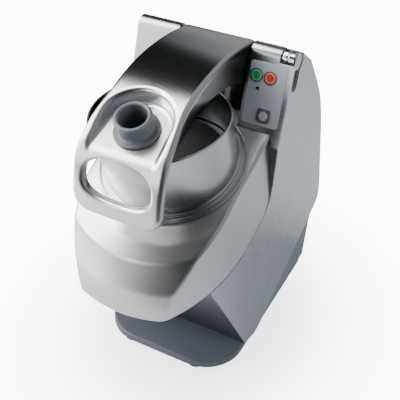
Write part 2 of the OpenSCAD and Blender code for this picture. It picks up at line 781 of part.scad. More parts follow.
module motor_bracket() {
    color([0.45, 0.47, 0.5]) tilted() difference() {
        union() {
            translate([-bracket_half, motor_offset - bracket_half, motor_top])
                cube([2 * bracket_half, 2 * bracket_half, bracket_t - over]);
            for (side = [-1, 1])
                translate([side * (bracket_half - bracket_t / 2) - bracket_t / 2,
                    motor_offset - bracket_half, motor_top])
                    cube([bracket_t, bracket_half, deck_h - sheet - motor_top]);
        }
        translate([0, motor_offset, motor_top - over]) cylinder(r = pinion_r + 2 * belt_t, h = bracket_t + 2 * over);
        for (a = [45:90:315]) translate([0, motor_offset, motor_top - over]) rotate(a)
            translate([motor_r - 4 * motor_fin_h, 0, 0])
            cylinder(r = screw_r + screw_gap, h = bracket_t + 2 * over, $fn = small_fn);
    }
}
belt_gap = 0.3;
module belt_loop(gap) {
    axis_angle = asin((driven_r - pinion_r) / motor_offset);
    circle(r = driven_r + gap);
    translate([0, motor_offset]) circle(r = pinion_r + gap);
    polygon([for (side = [1, -1], end = side > 0 ? [0, 1] : [1, 0])
        let (r = (end > 0 ? pinion_r : driven_r) + gap)
        [0, end * motor_offset] + r * [side * cos(axis_angle), sin(axis_angle)]]);
}
module drive_belt() {
    color([0.08, 0.08, 0.08]) tilted() translate([0, 0, -belt_drop - belt_w / 2]) linear_extrude(belt_w)
        difference() {
            belt_loop(belt_gap + belt_t);
            belt_loop(belt_gap);
        }
}
capacitor_r = 18;
capacitor_len = 70;
capacitor_y = 190;
module run_capacitor() {
    color([0.85, 0.85, 0.85]) placed() translate([capacitor_r - inner_half, capacitor_y, lower_z(capacitor_y) + capacitor_r])
        cylinder(r = capacitor_r, h = capacitor_len);
}
gland_inset = 36;
gland_x = gland_inset - wedge_half;
gland_z = 92;
gland_r = 8;
gland_nut_r = 13;
gland_bore_r = 4.5;
gland_len = 18;
module cable_gland() {
    wall_y = wedge_rear_low + (wedge_rear_high - wedge_rear_low) * (gland_z - floor_z) / (lower_z(wedge_rear_high) - floor_z);
    color([0.1, 0.1, 0.11]) placed() translate([gland_x, wall_y, gland_z]) rotate([-90, 0, 0]) difference() {
        union() {
            translate([0, 0, -gland_len]) cylinder(r = gland_r - screw_gap, h = gland_len + wedge_wall, $fn = small_fn);
            translate([0, 0, wedge_wall]) cylinder(r = gland_nut_r, h = wedge_wall, $fn = 6);
        }
        translate([0, 0, -gland_len - over]) cylinder(r = gland_bore_r, h = 2 * gland_len, $fn = small_fn);
    }
}

// Screws
module screw(length) {
    translate([0, 0, -length]) cylinder(r = screw_r, h = length, $fn = small_fn);
    difference() {
        cylinder(r1 = screw_head_r, r2 = screw_head_r - screw_r / 2, h = screw_head_h, $fn = small_fn);
        translate([0, 0, screw_head_h / 2]) cylinder(r = screw_r, h = screw_head_h, $fn = 6);
    }
}
module base_screws() {
    color([0.6, 0.6, 0.62]) placed() for (p = base_screw_places)
        translate([p[0], p[1], foot_h]) mirror([0, 0, 1]) screw(base_t + screw_len);
}
module at_motor_screws() {
    at_motor() for (a = [45:90:315]) rotate(a) translate([motor_r - 4 * motor_fin_h, 0, motor_top]) children();
}
module motor_screws() {
    color([0.6, 0.6, 0.62]) at_motor_screws() translate([0, 0, bracket_t - over]) screw(screw_len);
}
rear_screw_steps = [4, 15];
rear_screw_inset = 12;
rear_screw_x = inner_half - rear_screw_inset;
// Frames on the rear cover's screw places, with Z out of the cover
module at_rear_screws() {
    both_sides() placed() for (i = rear_screw_steps) {
        way = rear_curve[i + 1] - rear_curve[i - 1];
        translate([rear_screw_x, rear_curve[i][0], rear_curve[i][1]])
            rotate([atan2(-way[0], way[1]) - 90, 0, 0]) children();
    }
}
module rear_screws() {
    color([0.6, 0.6, 0.62]) at_rear_screws() screw(screw_len);
}
clip_w = 18;
clip_t = 4;
// Clips inside the side panels, which take the rear cover's screws
module cover_clips() {
    color([0.6, 0.62, 0.64]) at_rear_screws() difference() {
        union() {
            translate([rear_screw_x - inner_half, -clip_w / 2, -sheet - 3 * screw_gap - clip_t])
                cube([2 * (inner_half - rear_screw_x), clip_w, clip_t]);
            translate([inner_half - rear_screw_x - clip_t / 2, -clip_w / 2, -sheet - 3 * screw_gap - clip_w])
                cube([clip_t / 2, clip_w, clip_w]);
        }
        translate([0, 0, -screw_len - over]) cylinder(r = screw_r, h = screw_len + 2 * over, $fn = small_fn);
    }
}

// Feed head
hood_shares = [[0.54, 0], [0.66, -0.078], [0.745, -0.155], [0.782, -0.215], [0.81, -0.29], [0.848, -0.385],
    [0.912, -0.57], [0.966, -0.8], [1, -1]];
hood_profile = curve([for (q = hood_shares) [q[0] * hood_r, q[1] * hood_depth]], 4);
tongue_s = 118;
tongue_half = gap_half - 1.5;
module hood_solid(gap) {
    low = gap > 0 ? -hood_depth - over : -hood_depth;
    points = concat([[0, low]], [[hood_r - gap, low]], reversed([for (p = hood_profile) p - [gap, gap]]), [[0, -gap]]);
    intersection() {
        tilted() {
            rotate([0, 0, 180]) rotate_extrude(angle = 180, $fn = 2 * round_fn) polygon(points);
            rotate([90, 0, 0]) mirror([0, 0, 1]) linear_extrude(far) polygon(mirrored(points));
        }
        plan_solid(gap, -hood_depth - over, over, band_slope);
    }
}
module hood() {
    color([0.78, 0.79, 0.8]) difference() {
        union() {
            intersection() {
                difference() {
                    hood_solid(0);
                    hood_solid(hood_t);
                }
                tilted() translate([-half_w, -far, -far]) cube([machine_w, far + ring_r, 2 * far]);
            }
            tilted() translate([-tongue_half, 0, -hood_t]) cube([2 * tongue_half, tongue_s, hood_t]);
        }
        both_sides() intersection() {
            slab(-far, far) polygon(inset(casing_outline, -slit_gap));
            placed() translate([tongue_half, -far, 0]) cube([far, 2 * far, 2 * far]);
        }
        tilted() translate([0, 0, -hood_t - over]) cylinder(r = hopper_r, h = hood_t + 2 * over);
        at_arm_screws() translate([0, 0, -hood_t - over]) cylinder(r = screw_r, h = hood_t + 2 * over, $fn = small_fn);
    }
}
tube_low = -disc_drop + 3;
module hopper_tube() {
    rim_drop = tan(rim_slope);
    bend_s = (rim_h - rim_front_h) / rim_drop;
    color([0.8, 0.81, 0.82]) tilted() intersection() {
        translate([0, 0, tube_low]) ring(hopper_r, hopper_r - hopper_t, far / 2);
        translate([-far / 2, 0, 0]) rotate([90, 0, 90]) linear_extrude(far)
            polygon([[-hopper_r - over, tube_low - over], [hopper_r + over, tube_low - over],
                [hopper_r + over, rim_h - rim_drop * (hopper_r + over)],
                [bend_s, rim_front_h], [-hopper_r - over, rim_front_h]]);
    }
}
ring_step = 4;
module hopper_ring() {
    color([0.8, 0.81, 0.82]) tilted() rotate_extrude() {
        polygon([[hopper_r, 0], [ring_r - ring_h / 2, 0], [ring_r - ring_h / 2, ring_h / 2],
            [ring_r - ring_step, ring_h], [hopper_r + ring_step, ring_h],
            [hopper_r + ring_step / 2, ring_h + ring_step / 2], [hopper_r, ring_h + ring_step]]);
        translate([ring_r - ring_h / 2, ring_h / 2]) circle(r = ring_h / 2, $fn = small_fn);
    }
}
arm_x = 26;
arm_t = 8;
arm_lug_r = 11;
arm_foot_s = 109;
arm_foot_len = 8.5;
arm_foot_t = 3;
arm_lean = 57;
// Frames at the screws that hold the arms' feet on the hood's tongue
module at_arm_screws() {
    both_sides() for (x = [arm_x - arm_t / 2, arm_x + 1.5 * arm_t])
        tilted() translate([x, arm_foot_s + arm_foot_len / 2, 0]) children();
}
module head_arms() {
    reach = arm_lug_r * [cos(arm_lean + 90), sin(arm_lean + 90)];
    color([0.6, 0.62, 0.64]) both_sides() difference() {
        union() {
            slab(arm_x, arm_x + arm_t) {
                translate(hinge) circle(r = arm_lug_r);
                polygon([seat_point(arm_foot_s, 0), seat_point(arm_foot_s + arm_foot_len, 0),
                    hinge - reach, hinge + reach]);
            }
            tilted() translate([arm_x - arm_t, arm_foot_s, 0]) cube([3 * arm_t, arm_foot_len, arm_foot_t]);
        }
        x_bar(hinge, pin_r + pin_gap, 0, half_w);
        at_arm_screws() translate([0, 0, -over])
            cylinder(r = screw_r + screw_gap, h = arm_foot_t + 2 * over, $fn = small_fn);
    }
}
module arm_screws() {
    color([0.6, 0.6, 0.62]) at_arm_screws() translate([0, 0, arm_foot_t]) screw(arm_foot_t + hood_t);
}

// Lever
lever_top_shares = [[0.053, 0.962], [0.152, 0.987], [0.293, 1], [0.435, 0.987], [0.576, 0.943],
    [0.689, 0.873], [0.788, 0.785], [0.866, 0.684], [0.915, 0.612], [0.947, 0.532], [0.972, 0.43],
    [0.989, 0.304], [1, 0.152], [1, 0]];
lever_low_shares = [[0.961, 0], [0.958, 0.152], [0.947, 0.291], [0.926, 0.43], [0.898, 0.545],
    [0.868, 0.618], [0.823, 0.655], [0.717, 0.69], [0.594, 0.728], [0.47, 0.747], [0.346, 0.741],
    [0.223, 0.696], [0.117, 0.627], [0.053, 0.601]];
function lever_point(q) = [hinge_y - q[0] * lever_reach,
    hinge_z - lever_drop + q[1] * (lever_drop + crest_h)];
lever_top = curve([for (q = lever_top_shares) lever_point(q)], 3);
lever_low = curve([for (q = lever_low_shares) lever_point(q)], 3);
arch_top = lever_point([0.576, 0.943]);
floor_h = height_over_seat(arch_top) - recess_depth;
hub_top_angle = 100;
hub_low_angle = -35;
lever_outline = concat(reversed(arc(hinge, roll_r, hub_top_angle, hub_low_angle, 10)),
    lever_top, lever_low);
// Half outline of the handle in the front view, as shares of its half width and of the lever's height
grip_shares = [[0, 0], [0.3, 0.001], [0.55, 0.02], [0.75, 0.075], [0.91, 0.175], [0.985, 0.29], [1, 0.4]];
// Where the lever widens to the handle, as shares of its reach and of the gain in half width
widen_shares = [[0.64, 0], [0.69, 0.03], [0.728, 0.11], [0.763, 0.33], [0.806, 0.6], [0.876, 0.83], [0.961, 1]];
function mirrored(p) = concat(p, reversed([for (q = p) if (q[0] > 0) [-q[0], q[1]]]));
module lever_prism(outline, gap) {
    polygon(gap > 0 ? inset(outline, gap) : outline);
}
module lever_plan(gap) {
    low = hinge_z - lever_drop;
    height = lever_drop + crest_h;
    front = mirrored(concat(curve([for (q = grip_shares) [q[0] * grip_half, low + q[1] * height]], 4),
        [[grip_half, hinge_z + far]]));
    sides = curve([for (q = widen_shares)
        [lever_half + (grip_half - lever_half) * q[1], hinge_y - q[0] * lever_reach]], 4);
    plan = mirrored(concat([[grip_half, -far]], reversed(sides), [[lever_half, far]]));
    intersection() {
        placed() translate([0, far, 0]) rotate([90, 0, 0]) linear_extrude(2 * far) lever_prism(front, gap);
        placed() linear_extrude(2 * far) lever_prism(plan, gap);
    }
}
module lever_solid() {
    intersection() {
        slab(-grip_half - over, grip_half + over) polygon(lever_outline);
        lever_plan(0);
    }
}
// All that lies under the lever's skin, down to the line between its two ends
module lever_block() {
    intersection() {
        slab(-grip_half - over, grip_half + over) polygon(lever_top);
        lever_plan(0);
    }
}
lever_open = 40;
skin_end_angle = 15;
module lever_hollow() {
    inner_top = [for (i = [0:len(lever_top) - 1])
        lever_top[i] + lever_t * left_of(unit(lever_top[min(i + 1, len(lever_top) - 1)] - lever_top[max(i - 1, 0)]))];
    opened = [for (p = lever_low) p + [lever_open, -lever_open]];
    intersection() {
        slab(-grip_half - over, grip_half + over) {
            polygon(concat(inner_top, opened));
            translate(hinge) circle(r = roll_r - lever_t);
            polygon([hinge + [2 * roll_r, roll_r * sin(skin_end_angle)], inner_top[0],
                inner_top[0] - [roll_r, 3 * roll_r], hinge - [-2 * roll_r, 3 * roll_r]]);
        }
        lever_plan(lever_t);
    }
}
recess_front_s = -101;
recess_front_half = 50;
// Plan of the recess: an arch round the vegetable tube that runs out to the handle
module recess_plan(gap) {
    translate([0, -tube_offset]) circle(r = recess_r + gap);
    polygon([[-recess_r - gap, -tube_offset], [recess_r + gap, -tube_offset],
        [recess_front_half + gap, recess_front_s], [-recess_front_half - gap, recess_front_s]]);
}
finger_power = 2.5;
finger_z_share = 0.335;
finger_points = [for (a = [0:6:354]) [finger_half * sign(cos(a)) * pow(abs(cos(a)), 2 / finger_power),
    finger_half_h * sign(sin(a)) * pow(abs(sin(a)), 2 / finger_power)]];
finger_lip = 7;
finger_lean = 8;
module finger_frame() {
    placed() translate([0, hinge_y - lever_reach + lever_t,
        hinge_z - lever_drop + finger_z_share * (lever_drop + crest_h)])
        rotate([90 + finger_lean, 0, 0]) children();
}
module finger_hole() {
    finger_frame() translate([0, 0, -far / 8]) linear_extrude(far / 4) polygon(finger_points);
}
module lever() {
    color([0.7, 0.71, 0.72]) difference() {
        union() {
            difference() {
                lever_solid();
                lever_hollow();
                tilted() translate([0, 0, floor_h - lever_t]) linear_extrude(far / 4) recess_plan(0);
            }
            intersection() {
                lever_block();
                tilted() translate([0, 0, floor_h - lever_t]) difference() {
                    linear_extrude(far / 4) recess_plan(lever_t);
                    translate([0, 0, lever_t]) linear_extrude(far / 4) recess_plan(0);
                }
            }
            intersection() {
                lever_solid();
                finger_frame() translate([0, 0, -finger_lip]) linear_extrude(far / 8)
                    polygon(inset(finger_points, -lever_t));
            }
        }
        finger_hole();
        tilted() translate([0, -tube_offset, 0]) cylinder(r = tube_r + tube_t, h = far / 2);
        x_bar(hinge, pin_r + pin_gap, -half_w, half_w);
    }
}
hub_x0 = 40;
module lever_hubs() {
    color([0.62, 0.64, 0.66]) both_sides() difference() {
        x_bar(hinge, roll_r - lever_t, hub_x0, lever_half - lever_t);
        x_bar(hinge, pin_r + pin_gap, 0, half_w);
    }
}
plate_low = -4;
module vegetable_tube() {
    color([0.75, 0.76, 0.78]) tilted() translate([0, -tube_offset, plate_low])
        ring(tube_r + tube_t, tube_r, floor_h - plate_low);
}
module pusher_plate() {
    color([0.7, 0.72, 0.74]) tilted() difference() {
        translate([0, 0, plate_low]) cylinder(r = plate_r, h = plate_t);
        translate([0, -tube_offset, plate_low - over]) cylinder(r = tube_r + tube_t, h = plate_t + 2 * over);
    }
}
magnet_size = [6, 10, 14];
magnet_reach = 27;
magnet_drop = 30;
module lever_magnet() {
    color([0.2, 0.2, 0.22]) placed() translate([-lever_half + lever_t, hinge_y - magnet_reach,
        hinge_z - magnet_drop]) cube(magnet_size);
}
cup_flange_t = 4;
cup_wall_t = 3;
cup_rim_tube = 3.2;
cup_depth_share = 0.8;
cup_body_len = 112;
module cup_pusher() {
    seat = floor_h + button_gap;
    body_r = tube_r - cup_gap;
    neck_r = cup_rim_r - cup_rim_tube;
    color([0.36, 0.39, 0.43]) tilted() translate([0, -tube_offset, seat]) difference() {
        union() {
            translate([0, 0, -cup_body_len]) cylinder(r = body_r, h = cup_body_len);
            cylinder(r = cup_flange_r, h = cup_flange_t);
            cylinder(r = neck_r, h = cup_h - cup_rim_tube);
            translate([0, 0, cup_h - cup_rim_tube]) rotate_extrude()
                translate([cup_rim_r - cup_rim_tube, 0]) circle(r = cup_rim_tube, $fn = small_fn);
            translate([0, 0, cup_h - 2 * cup_rim_tube]) cylinder(r = neck_r, h = cup_rim_tube);
        }
        translate([0, 0, -cup_body_len * cup_depth_share]) cylinder(r = neck_r - cup_wall_t, h = far / 2);
    }
}

// Hinge pin
pin_tail = 10;
pin_groove = 2.5;
module hinge_pin() {
    color([0.8, 0.8, 0.82]) x_bar(hinge, pin_r, -gap_half - pin_tail, half_w - pin_grip_len + cup_wall);
}
module pin_grip() {
    start = half_w - pin_grip_len + cup_wall;
    color([0.45, 0.48, 0.51]) placed() translate([start, hinge_y, hinge_z]) rotate([0, 90, 0]) rotate_extrude()
        polygon(concat([[0, 0], [pin_grip_r, 0]],
            arc([pin_grip_r, pin_grip_len * 0.35], pin_groove, -90, -270, 10),
            [[pin_grip_r, pin_grip_len * 0.6], [pin_grip_r - pin_groove, half_w - start - over],
            [0, half_w - start - over]]));
}

// Turning pieces of the cutting disc
shaft_low = -belt_drop - belt_w;
disc_hub_r = 16;
disc_hub_h = 5;
blade_len = 68;
blade_w = 26;
blade_t = 1.4;
blade_lift = 1.6;
blade_s = 24;
slot_w = 12;
module disc_shaft() {
    color([0.75, 0.76, 0.78]) tilted() translate([0, 0, shaft_low])
        cylinder(r = shaft_r, h = -disc_drop - disc_t - shaft_low);
}
module cutting_disc() {
    color([0.8, 0.81, 0.83]) tilted() difference() {
        union() {
            translate([0, 0, -disc_drop - disc_t]) cylinder(r = disc_r, h = disc_t);
            translate([0, 0, -disc_drop]) cylinder(r1 = disc_hub_r, r2 = disc_hub_r - blade_lift, h = blade_lift);
        }
        for (i = [0:blade_count - 1]) rotate(360 * i / blade_count)
            translate([blade_s, blade_w / 2, -disc_drop - disc_t - over]) cube([blade_len, slot_w, disc_t + 2 * over]);
    }
}
module slicing_blades() {
    color([0.86, 0.87, 0.88]) tilted() for (i = [0:blade_count - 1]) rotate(360 * i / blade_count)
        translate([blade_s, 0, -disc_drop]) rotate([90, 0, 90]) linear_extrude(blade_len)
        polygon([[-blade_w / 2, 0], [blade_w / 2 - blade_lift, 0], [blade_w / 2 + blade_lift * 2, blade_lift],
            [-blade_w / 2, blade_t]]);
}
ejector_top = -disc_drop - disc_t;
ejector_hub_r = 28;
ejector_gap = 3;
ejector_arm_w = 6;
ejector_arm_h = 30;
ejector_r = 96;
ejector_arms = 3;
module ejector() {
    color([0.85, 0.86, 0.87]) tilted() difference() {
        union() {
            translate([0, 0, -bowl_depth + ejector_gap])
                cylinder(r = ejector_hub_r, h = bowl_depth - ejector_gap + ejector_top);
            for (i = [0:ejector_arms - 1]) rotate(360 * i / ejector_arms)
                translate([0, -ejector_arm_w / 2, ejector_top - ejector_arm_h - over])
                cube([ejector_r, ejector_arm_w, ejector_arm_h]);
            translate([0, 0, ejector_top - ejector_arm_h - over]) cylinder(r = ejector_r, h = ejector_gap);
        }
        translate([0, 0, -bowl_depth]) cylinder(r = shaft_r, h = bowl_depth);
    }
}
pulley_lip = 1;
module driven_pulley() {
    color([0.6, 0.62, 0.64]) tilted() translate([0, 0, -belt_drop - belt_w / 2 - 2 * pulley_lip]) difference() {
        union() {
            cylinder(r = driven_r, h = belt_w + 4 * pulley_lip);
            cylinder(r = driven_r + belt_t, h = 2 * pulley_lip - belt_gap);
        }
        translate([0, 0, -over]) cylinder(r = shaft_r, h = belt_w + 2 * far);
        for (a = [0:60:300]) rotate(a) translate([driven_r * 0.58, 0, -over])
            cylinder(r = driven_r * 0.2, h = belt_w * 2, $fn = small_fn);
    }
}

base_plate();
rubber_feet();
base_wedge();
right_side_panel();
left_side_panel();
front_panel();
rear_cover();
deck_plate();
right_pillar();
left_pillar();
gap_liner();
pin_grip_cup();
hinge_bushes();
disc_chamber();
chamber_seal();
discharge_chute();
bearing_housing();
shaft_bearings();
control_panel();
status_lens();
control_board();
lever_sensor();
motor_housing();
motor_bracket();
motor_bearings();
run_capacitor();
drive_belt();
cable_gland();
base_screws();
motor_screws();
rear_screws();
cover_clips();
hood();
hopper_tube();
hopper_ring();
head_arms();
arm_screws();
lever();
lever_hubs();
vegetable_tube();
pusher_plate();
lever_magnet();
cup_pusher();
hinge_pin();
pin_grip();
disc_shaft();
cutting_disc();
slicing_blades();
ejector();
driven_pulley();
motor_rotor();
motor_shaft();
motor_pulley();
start_button();
stop_button();
pulse_button();
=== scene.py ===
import json
import math

import bpy
import numpy as np
from mathutils import Matrix, Vector


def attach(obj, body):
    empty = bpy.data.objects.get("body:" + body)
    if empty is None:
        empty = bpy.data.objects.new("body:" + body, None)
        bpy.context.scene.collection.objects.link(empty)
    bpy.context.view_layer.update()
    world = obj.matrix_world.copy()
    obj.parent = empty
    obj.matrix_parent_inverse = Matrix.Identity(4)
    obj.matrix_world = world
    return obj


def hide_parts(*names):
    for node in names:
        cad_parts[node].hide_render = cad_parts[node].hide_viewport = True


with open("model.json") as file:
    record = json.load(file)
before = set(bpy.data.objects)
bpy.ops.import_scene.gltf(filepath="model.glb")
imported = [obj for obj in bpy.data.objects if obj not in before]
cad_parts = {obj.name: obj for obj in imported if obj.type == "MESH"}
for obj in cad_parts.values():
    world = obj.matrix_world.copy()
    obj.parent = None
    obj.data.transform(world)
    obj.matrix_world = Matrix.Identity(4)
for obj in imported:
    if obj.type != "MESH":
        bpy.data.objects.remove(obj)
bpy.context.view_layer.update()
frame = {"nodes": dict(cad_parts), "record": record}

# Lengths are in millimetres of the part's frame, and MM turns them into metres. Inside the materials, places are in
# metres
MM = 0.001
TILT = math.radians(20)
# The disc axis leans forward by TILT and crosses the hopper seat at SEAT. From there ALONG runs back over the seat,
# and UP runs up the axis
AXIS_Y = -78.1
SEAT = np.array([0.0, AXIS_Y, 358.0])
ACROSS = np.array([1.0, 0.0, 0.0])
ALONG = np.array([0.0, math.cos(TILT), math.sin(TILT)])
UP = np.array([0.0, -math.sin(TILT), math.cos(TILT)])
# The hinge line is also the middle of the roll on top of the column, whose front face leans back
HINGE = np.array([0.0, 133.0 + AXIS_Y, 487.0])
ROLL_R = 15.0
FACE_LEAN = math.radians(17)
HALF_W = 126.0
# Edges that turn by more than this angle are drawn sharp
SHARP = math.radians(40)


# ---------------------------------------------------------------- meshes

def outward(verts, faces):
    """The faces, turned round if the volume that they enclose comes out negative."""
    at = np.asarray(verts, float)
    volume = sum(np.einsum("ij,ij->", at[f[:, 0]], np.cross(at[f[:, k]], at[f[:, k + 1]]))
                 for f in faces for k in range(1, f.shape[1] - 1))
    return faces if volume > 0 else [f[:, ::-1] for f in faces]


def mesh_piece(name, body, verts, faces, material, replaces=(), second=None):
    """A mesh object from arrays in millimetres, riding on a body. Second is another material and the truth, face by
    face, of where it goes."""
    mesh = bpy.data.meshes.new(name)
    faces = outward(verts, [np.asarray(f) for f in (faces if isinstance(faces, list) else [faces])])
    loops = np.concatenate([f.ravel() for f in faces])
    sizes = np.concatenate([np.full(len(f), f.shape[1]) for f in faces])
    mesh.vertices.add(len(verts))
    mesh.vertices.foreach_set("co", (np.asarray(verts) * MM).astype(np.float32).ravel())
    mesh.loops.add(len(loops))
    mesh.loops.foreach_set("vertex_index", loops.astype(np.int32))
    mesh.polygons.add(len(sizes))
    mesh.polygons.foreach_set("loop_start", np.concatenate([[0], np.cumsum(sizes)[:-1]]).astype(np.int32))
    mesh.update(calc_edges=True)
    mesh.materials.append(material)
    if second:
        mesh.materials.append(second[0])
        mesh.polygons.foreach_set("material_index", second[1].astype(np.int32))
    piece = bpy.data.objects.new(name, mesh)
    bpy.context.scene.collection.objects.link(piece)
    mesh.shade_smooth()
    mesh.set_sharp_from_angle(angle=SHARP)
    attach(piece, body)
    if replaces:
        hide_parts(*replaces)
    return piece


def grid_faces(rows, columns, wrap_rows=False, wrap_columns=False, flip=False):
    """Quads between neighbours of a grid of points, which may close on itself either way."""
    i = np.arange(rows if wrap_rows else rows - 1)
    j = np.arange(columns if wrap_columns else columns - 1)
    i, j = np.meshgrid(i, j, indexing="ij")
    a = i * columns + j
    b = i * columns + (j + 1) % columns
    c = (i + 1) % rows * columns + (j + 1) % columns
    d = (i + 1) % rows * columns + j
    quads = np.stack([a, b, c, d], -1).reshape(-1, 4)
    return quads[:, ::-1] if flip else quads


def around(count):
    """The numbers of the points of a ring, and those of their next neighbours."""
    here = np.arange(count)
    return here, (here + 1) % count


def lathe(profile, origin, axis, across, steps, shape=None):
    """A profile of (radius, height) pairs carried round an axis: point = origin + axis h + (across, side) r shape,
    where shape stretches each direction. A profile that starts and ends on the axis closes there in two fans, and
    any other closes on itself."""
    axis = axis / np.linalg.norm(axis)
    side = np.cross(axis, across)
    profile = np.asarray(profile, float)
    turn = np.linspace(0, 2 * np.pi, steps, endpoint=False)
    round_dir = np.cos(turn)[:, None] * across + np.sin(turn)[:, None] * side
    if shape is not None:
        round_dir = round_dir * shape(turn)[:, None]
    poles = profile[0, 0] == 0 and profile[-1, 0] == 0
    body = profile[1:-1] if poles else profile
    points = origin + round_dir[:, None, :] * body[None, :, :1] + axis * body[None, :, 1:]
    points = points.reshape(-1, 3)
    faces = [grid_faces(steps, len(body), True, not poles, flip=True)]
    if poles:
        count, last = len(points), len(body) - 1
        points = np.vstack([points, origin + axis * profile[0, 1], origin + axis * profile[-1, 1]])
        here, there = (ring * len(body) for ring in around(steps))
        faces.append(np.stack([np.full(steps, count), there, here], -1))
        faces.append(np.stack([np.full(steps, count + 1), here + last, there + last], -1))
    return points, faces


def arc(cx, cy, r, a0, a1, steps):
    """Points on a circle about (cx, cy) between two angles in degrees."""
    a = np.radians(np.linspace(a0, a1, steps))
    return np.stack([cx + r * np.cos(a), cy + r * np.sin(a)], -1)


def curve(points, steps=8):
    """The Catmull-Rom curve through a list of points, which is the cubic that the part's source uses. Each stretch
    runs from b to c, with a before and d after: half of 2b + (c - a) t + (2a - 5b + 4c - d) t^2 +
    (3b - a - 3c + d) t^3."""
    p = np.asarray(points, float)
    before, after = np.vstack([p[:1], p[:-1]]), np.vstack([p[1:], p[-1:]])
    a, b, c, d = (v[:, None, :] for v in (before[:-1], p[:-1], p[1:], after[1:]))
    t = (np.arange(steps) / steps)[None, :, None]
    out = (2 * b + (c - a) * t + (2 * a - 5 * b + 4 * c - d) * t**2 + (3 * b - a - 3 * c + d) * t**3) / 2
    return np.vstack([out.reshape(-1, 2), p[-1:]])


def seat_point(x, s, h):
    """The point at x across, s behind the disc axis and h above the hopper seat."""
    x, s, h = (np.asarray(v, float)[..., None] for v in (x, s, h))
    return SEAT + x * ACROSS + s * ALONG + h * UP


def seat_sides(y, z):
    """Distance behind the disc axis and height over the seat of a side view point."""
    y, z = np.asarray(y, float) - SEAT[1], np.asarray(z, float) - SEAT[2]
    return y * ALONG[1] + z * ALONG[2], y * UP[1] + z * UP[2]


def round_max(a, b, r):
    """Distance to the part that two distances share, with their common edge rounded to radius r."""
    return np.minimum(np.maximum(a, b), -r) + np.hypot(np.maximum(a + r, 0), np.maximum(b + r, 0))


def net(field, low, high, step):
    """The surface where field(x, y, z) is zero: one point in each grid cell that the surface crosses, at the mean
    of the crossings of its edges, then moved onto the surface a few times by value times slope over slope squared.
    A quad joins the four cells round each grid edge that the surface crosses."""
    moves, least_slope = 3, 0.3
    axes = [np.arange(a, b + step, step) for a, b in zip(low, high)]
    value = field(*np.meshgrid(*axes, indexing="ij"))
    inside = value < 0
    shape = np.array(value.shape) - 1
    corners = [(i, j, k) for i in (0, 1) for j in (0, 1) for k in (0, 1)]
    part = {c: tuple(slice(o, o + n) for o, n in zip(c, shape)) for c in corners}
    count = sum(inside[part[c]].astype(np.int8) for c in corners)
    cell = (count > 0) & (count < len(corners))
    where = np.argwhere(cell)
    total, hits = np.zeros((len(where), 3)), np.zeros(len(where))
    for c in corners:
        for axis in range(3):
            if c[axis]:
                continue
            e = tuple(1 if n == axis else v for n, v in enumerate(c))
            va, vb = value[part[c]][cell], value[part[e]][cell]
            cross = (va < 0) != (vb < 0)
            share = np.where(cross, va / np.where(cross, va - vb, 1), 0)
            total += np.where(cross[:, None], np.array(c) + share[:, None] * (np.array(e) - np.array(c)), 0)
            hits += cross
    points = np.array(low) + step * (where + total / hits[:, None])
    gap = step * 0.1
    for _ in range(moves):
        here = field(*points.T)
        slope = np.stack([field(*(points + gap * np.eye(3)[n]).T) - field(*(points - gap * np.eye(3)[n]).T)
                          for n in range(3)], -1) / (2 * gap)
        move = (here / np.maximum((slope**2).sum(-1), least_slope))[:, None] * slope
        points -= np.clip(move, -step / 2, step / 2)
    index = np.full(cell.shape, -1)
    index[cell] = np.arange(len(where))
    quads = []
    for axis in range(3):
        u, v = (axis + 1) % 3, (axis + 2) % 3
        a = inside.take(np.arange(shape[axis]), axis)
        b = inside.take(np.arange(1, shape[axis] + 1), axis)
        middle = tuple(slice(None) if n == axis else slice(1, shape[n]) for n in range(3))
        edge = np.argwhere((a != b)[middle])
        leaving = a[middle][tuple(edge.T)]
        edge[:, [u, v]] += 1
        ring = []
        for du, dv in ((-1, -1), (0, -1), (0, 0), (-1, 0)):
            at = edge.copy()
            at[:, u] += du
            at[:, v] += dv
            ring.append(index[tuple(at.T)])
        ring = np.stack(ring, -1)
        quads.append(np.where(leaving[:, None], ring, ring[:, ::-1]))
    return points, np.concatenate(quads)


# ---------------------------------------------------------------- materials

BUMP_DISTANCE = 0.0002
NO_TURN = (0, 0, 0)


class Link:
    """A shader socket that takes part in sums."""

    def __init__(self, tree, socket):
        self.tree, self.socket = tree, socket

    def _sum(self, operation, *values):
        return self.tree.node("ShaderNodeMath", {"operation": operation}, *values)

    def __add__(self, other):
        return self._sum("ADD", self, other)

    def __sub__(self, other):
        return self._sum("SUBTRACT", self, other)

    def __rsub__(self, other):
        return self._sum("SUBTRACT", other, self)

    def __mul__(self, other):
        return self._sum("MULTIPLY", self, other)

    __radd__ = __add__
    __rmul__ = __mul__


